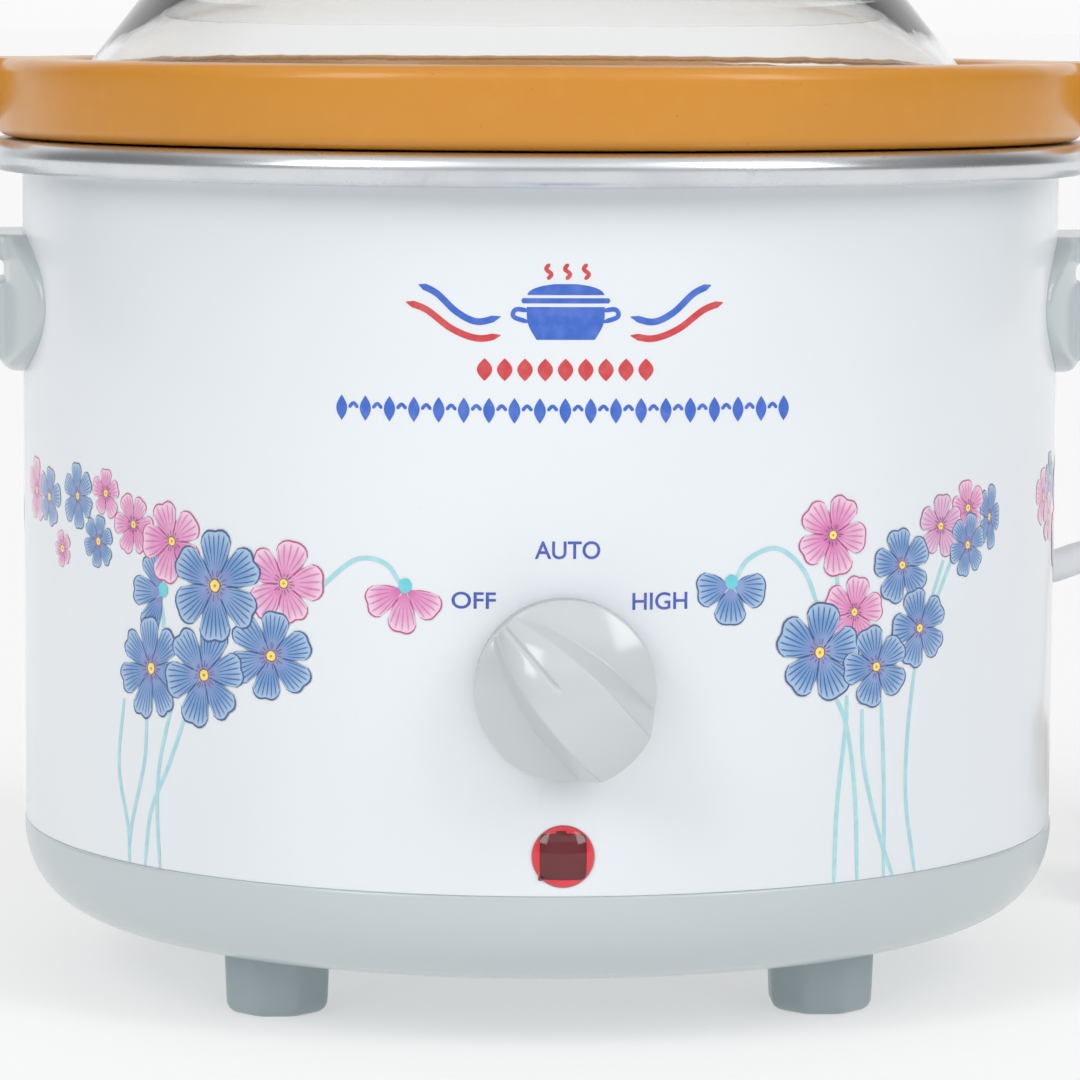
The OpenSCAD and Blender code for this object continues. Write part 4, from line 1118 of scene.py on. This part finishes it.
def printed(name, parts, material):
    """One piece from sheets of print, facing outwards, each with its own pattern map."""
    verts, faces, uvs = [], [], []
    for points, part_faces, *pattern in parts:
        faces += [tuple(i + len(verts) for i in face) for face in part_faces]
        verts += points
        uvs += pattern[0] if pattern else [(0, 0)] * len(points)
    obj = raw_object(name, (verts, faces), material)
    mesh = obj.data
    layer = mesh.uv_layers.new(name="print")
    for loop in mesh.loops:
        layer.data[loop.index].uv = uvs[loop.vertex_index]
    inward = [p for p in mesh.polygons if p.normal.x * p.center.x + p.normal.y * p.center.y < 0]
    if inward:
        bm = bmesh.new()
        bm.from_mesh(mesh)
        bm.faces.ensure_lookup_table()
        bmesh.ops.reverse_faces(bm, faces=[bm.faces[p.index] for p in inward])
        bm.to_mesh(mesh)
        bm.free()
    mesh.shade_smooth()
    settle(obj, "root", [])


LEFT_FLOWERS = [
    # ink, azimuth, height, size, petals, turn, width to height
    ("pink", -74, 104.5, 14, 5, 20, 1.1), ("blue", -69, 104, 13, 5, 80, 1.1),
    ("pink", -65, 94, 8, 5, 40, 1.1), ("blue", -61, 105.5, 14.5, 6, 95, 0.95),
    ("pink", -55, 107, 10.5, 5, 90, 1.0), ("blue", -56.5, 97, 11.5, 6, 80, 1.0),
    ("pink", -50, 101.5, 13, 6, 60, 1.0), ("pink", -44, 99, 17.5, 5, 110, 1.0),
    ("pink", -29.5, 92.5, 17.5, 5, 75, 1.0), ("blue", -47.2, 73, 22, 7, 96, 0.92),
    ("blue", -31, 78, 19.5, 6, 22, 1.05), ("blue", -39.5, 73, 22, 6, 12, 0.98),
    ("blue", -38, 91, 23.5, 6, 90, 1.0)]
LEFT_STEMS = [[(-51.8, 66), (-52.8, 52), (-51.2, 40), (-51, 32.8)],
    [(-48, 64), (-48.4, 54), (-50.4, 42), (-51, 36)], [(-44, 67), (-46, 54), (-46.4, 44), (-46, 32.8)],
    [(-42, 65), (-44.6, 54), (-47.4, 44), (-48.4, 32.8)], [(-26.3, 89.6), (-24.5, 93.5), (-21.3, 98),
    (-18.3, 97.4), (-16.6, 93.2)], [(-45.2, 97), (-46, 89), (-45.3, 83), (-46, 78)]]
RIGHT_FLOWERS = [("pink", 70, 104, 13, 5, 95, 1.0), ("blue", 74, 107, 12, 5, 90, 1.0),
    ("pale", 84, 98, 30, 5, 60, 1.0), ("pink", 73, 99, 11, 5, 85, 1.0),
    ("blue", 53.3, 102.5, 14, 5, 70, 0.6), ("pink", 49, 105, 11.5, 5, 100, 1.05),
    ("pale", 44.2, 102, 13.5, 5, 85, 1.05), ("blue", 49, 97.5, 13.5, 6, 75, 1.0),
    ("pink", 29, 102, 16.5, 5, 65, 1.05), ("pink", 31.8, 86.5, 15, 5, 80, 1.0),
    ("blue", 38.3, 95, 15.5, 5, 100, 1.05), ("blue", 41, 82, 16.5, 5, 105, 1.0),
    ("blue", 27.5, 79, 20.5, 5, 82, 1.0), ("blue", 34.8, 75.2, 17.5, 5, 108, 1.05)]
RIGHT_STEMS = [[(29.2, 71), (31, 64), (32.2, 50), (32.6, 32.8)],
    [(31, 70), (30.9, 64), (29.9, 48), (29.6, 32.8)], [(33, 67), (33.3, 56), (35.4, 42), (37.5, 32.8)],
    [(35.6, 68), (36, 56), (36.2, 44), (36.2, 32.8)], [(40.5, 75), (39.5, 62), (39.3, 48), (40.8, 32.8)],
    [(17.7, 94), (19.2, 98.2), (22.4, 100), (25.5, 95.5), (27.3, 88)], [(29.5, 95), (30, 86)],
    [(44.8, 95), (43, 88)], [(46.2, 95), (43.6, 87)]]


def make_flowers():
    """Two bunches of simple flowers at the front, and the same two again at the back."""
    rng = random.Random(5)
    sheets = {key: [] for key in ("blue", "pink", "pale", "rim", "heart", "dot", "hairs", "stem",
        "calyx")}
    for back in (0, 180):
        for bunch in (LEFT_FLOWERS, RIGHT_FLOWERS):
            for layer, (kind, azimuth, z, size, petals, turn, wide) in enumerate(bunch):
                flower(sheets, kind, azimuth + back, z, size, petals, turn, wide, layer, rng)
        for stem in LEFT_STEMS + RIGHT_STEMS:
            sheets["stem"].append(ribbon([((a + back) * ARC_MM, z) for a, z in stem], 0.95, INK, 0.7))
        for kind, azimuth, z, size, fan in (("pink", -16.2, 92.6, 18, (-158, -35)),
                ("blue", 17.3, 93.2, 16, (-172, -12)), ("blue", -45.3, 88.5, 20, (125, 235))):
            flower(sheets, kind, azimuth + back, z, size, 3, 0, 0.95, 3, rng, fan)
            sheets["calyx"].append(dot((azimuth + back) * ARC_MM, z + 0.6, 1.5, 0.9, 0.16, rng))
    blue_line, pink_line = srgb(38, 62, 120), srgb(178, 44, 112)
    inks = {"blue": flower_ink("blue_petals", srgb(126, 140, 196), srgb(104, 150, 206),
        srgb(166, 196, 228), blue_line, 8, 0.8), "pink": flower_ink("pink_petals", srgb(214, 104, 172),
        srgb(226, 150, 200), srgb(242, 208, 230), pink_line, 6, 0.5),
        "pale": flower_ink("mauve_petals", srgb(206, 128, 186), srgb(222, 166, 208), srgb(232, 200, 222),
        srgb(140, 76, 134), 6, 0.45), "rim": plain_ink("heart_rims", srgb(140, 84, 96)),
        "heart": plain_ink("hearts", srgb(250, 222, 96)), "dot": plain_ink("heart_dots",
        srgb(206, 128, 44)), "hairs": plain_ink("stamens", srgb(98, 60, 128)),
        "stem": plain_ink("stems", srgb(164, 214, 222)), "calyx": plain_ink("calyxes",
        srgb(96, 204, 216))}
    for key, parts in sheets.items():
        printed("print_" + key, parts, inks[key])


def words(text, azimuths, heights):
    """Plain dial words in the built-in typeface, fitted between azimuths and heights."""
    data = bpy.data.curves.new("letters", "FONT")
    data.body = text
    data.offset = 0.012
    obj = bpy.data.objects.new("letters", data)
    bpy.context.scene.collection.objects.link(obj)
    mesh = bpy.data.meshes.new_from_object(obj.evaluated_get(bpy.context.evaluated_depsgraph_get()))
    bpy.data.objects.remove(obj)
    xs, ys = [[v.co[i] for v in mesh.vertices] for i in (0, 1)]
    faces = [tuple(p.vertices) for p in mesh.polygons]
    bpy.data.meshes.remove(mesh)

    def fitted(values, start, end):
        first, last = min(values), max(values)
        return [start + (end - start) * (value - first) / (last - first) for value in values]

    return [on_shell(a * ARC_MM, z, INK) for a, z in zip(fitted(xs, *azimuths),
        fitted(ys, *heights))], faces


def make_words():
    """The three settings round the knob."""
    printed("print_settings", [words("AUTO", (-3.0, 3.6), (98.8, 102.3)),
        words("OFF", (-11.4, -6.9), (89.0, 92.3)), words("HIGH", (6.9, 12.6), (88.8, 92.2))],
        plain_ink("blue_lettering", srgb(58, 82, 176), 0.05))


def make_badge():
    """Generic pot with steam, and two plain ornamental bands under it, instead of any mark."""
    blue, red = [], []

    def leaf(x, z, step, half):
        return panel([(z + step * i, x - half * sin(pi * i / 8), x + half * sin(pi * i / 8))
            for i in range(9)], INK, 4)

    for rows in ([(141.2 + k * 0.9, 5.6 + 1.9 * sin(pi / 2 * min(1, k / 5))) for k in range(8)],
            [(148.2, 8.3), (148.7, 8.6), (149.2, 8.3)], [(149.8 + 0.35 * k,
            7.4 * sqrt(1 - (k / 6.3) ** 2)) for k in range(7)]):
        blue.append(panel([(z, -half, half) for z, half in rows], INK))
    for s in (-1, 1):
        for ink, width, ends, points in ((blue, 0.9, 0.35,
                ((7.2, 146.8), (9.6, 147), (10, 145.6), (7.2, 144.6))),
                (red, 1.3, 0.1, ((12.5, 142), (17, 141.4), (22, 143.2), (27, 146.8), (31, 148.2))),
                (blue, 1.3, 0.1, ((12.5, 145.6), (17, 144.6), (21, 146.4), (25, 150), (28.5, 151.6)))):
            ink.append(ribbon([(s * x, z) for x, z in points], width, INK, ends))
    for x in (-3.6, 0, 3.6):
        red.append(ribbon([(x, 152.8), (x + 0.8, 153.8), (x - 0.2, 154.8), (x + 0.5, 155.8)], 0.8, INK,
            0.2))
    red += [leaf(k * 3.9, 133.2, 0.55, 1.5) for k in range(-4, 5)]
    for x in [k * 4.9 for k in range(-9, 10)]:
        blue.append(leaf(x, 125, 0.62, 1.15))
        if x < 44:
            blue.append(ribbon([(x + 1.5, 127.5), (x + 2.45, 128.4), (x + 3.4, 127.5)], 0.7, INK))
    printed("print_pot", blue, plain_ink("blue_print", srgb(44, 98, 200), 0.05))
    printed("print_steam", red, plain_ink("red_print", srgb(206, 52, 58), 0.05))


# ---- CAD parts shown as they are

def dress(names, material):
    """Gives CAD nodes a finished material in place of their plain one."""
    for name in names.split():
        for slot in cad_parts[name].material_slots:
            slot.material = material


def dress_inner_parts():
    """Materials of the parts inside, underneath and behind."""
    dress("foot_screws centre_stud stud_spacer_upper stud_spacer_lower centre_washer centre_nut "
          "heater_strap strap_screw thermostat_bracket handle_plate_left handle_plate_right "
          "handle_screws switch_shaft switch_nut lid_screw", STEEL)
    dress("bottom_reflector", ALUMINIUM)
    dress("earth_screw", BRASS)
    dress("heater_band", MICA)
    dress("insulation_blanket", BLANKET)
    dress("thermostat thermal_fuse lamp_holder", BLACK_PLASTIC)
    dress("switch_body terminal_block", CREAM_PLASTIC)
    dress("lid_washer", SILICONE)
    dress("strain_relief_nut", GREY_PLASTIC)
    dress("inner_cord", CORD_JACKET)
    dress("lamp_bulb", red_lens("neon_glass", srgb(255, 196, 150), 0.7, 0.05))
    for name, *colour in (("lead_live", 122, 76, 44), ("lead_neutral", 44, 92, 178),
            ("lead_earth", 92, 158, 62), ("lead_heater", 232, 230, 224), ("lead_lamp", 196, 48, 44)):
        dress(name, rubbery(name + "_pvc", srgb(*colour), 0.4))


# ---- build

make_camera()
make_light()
make_floor()
make_lead()
make_boot()
make_shell()
make_base()
for foot_azimuth, foot_name in ((45, "foot_front_right"), (135, "foot_rear_right"),
        (225, "foot_rear_left"), (315, "foot_front_left")):
    make_foot(foot_name, foot_azimuth)
make_handle("right")
make_handle("left")
make_well()
make_crock()
make_glass()
make_lid_knob()
make_control_knob()
make_lamp()
make_lamp_chamber()
make_flowers()
make_words()
make_badge()
dress_inner_parts()

bpy.context.scene.view_settings.view_transform = "Standard"
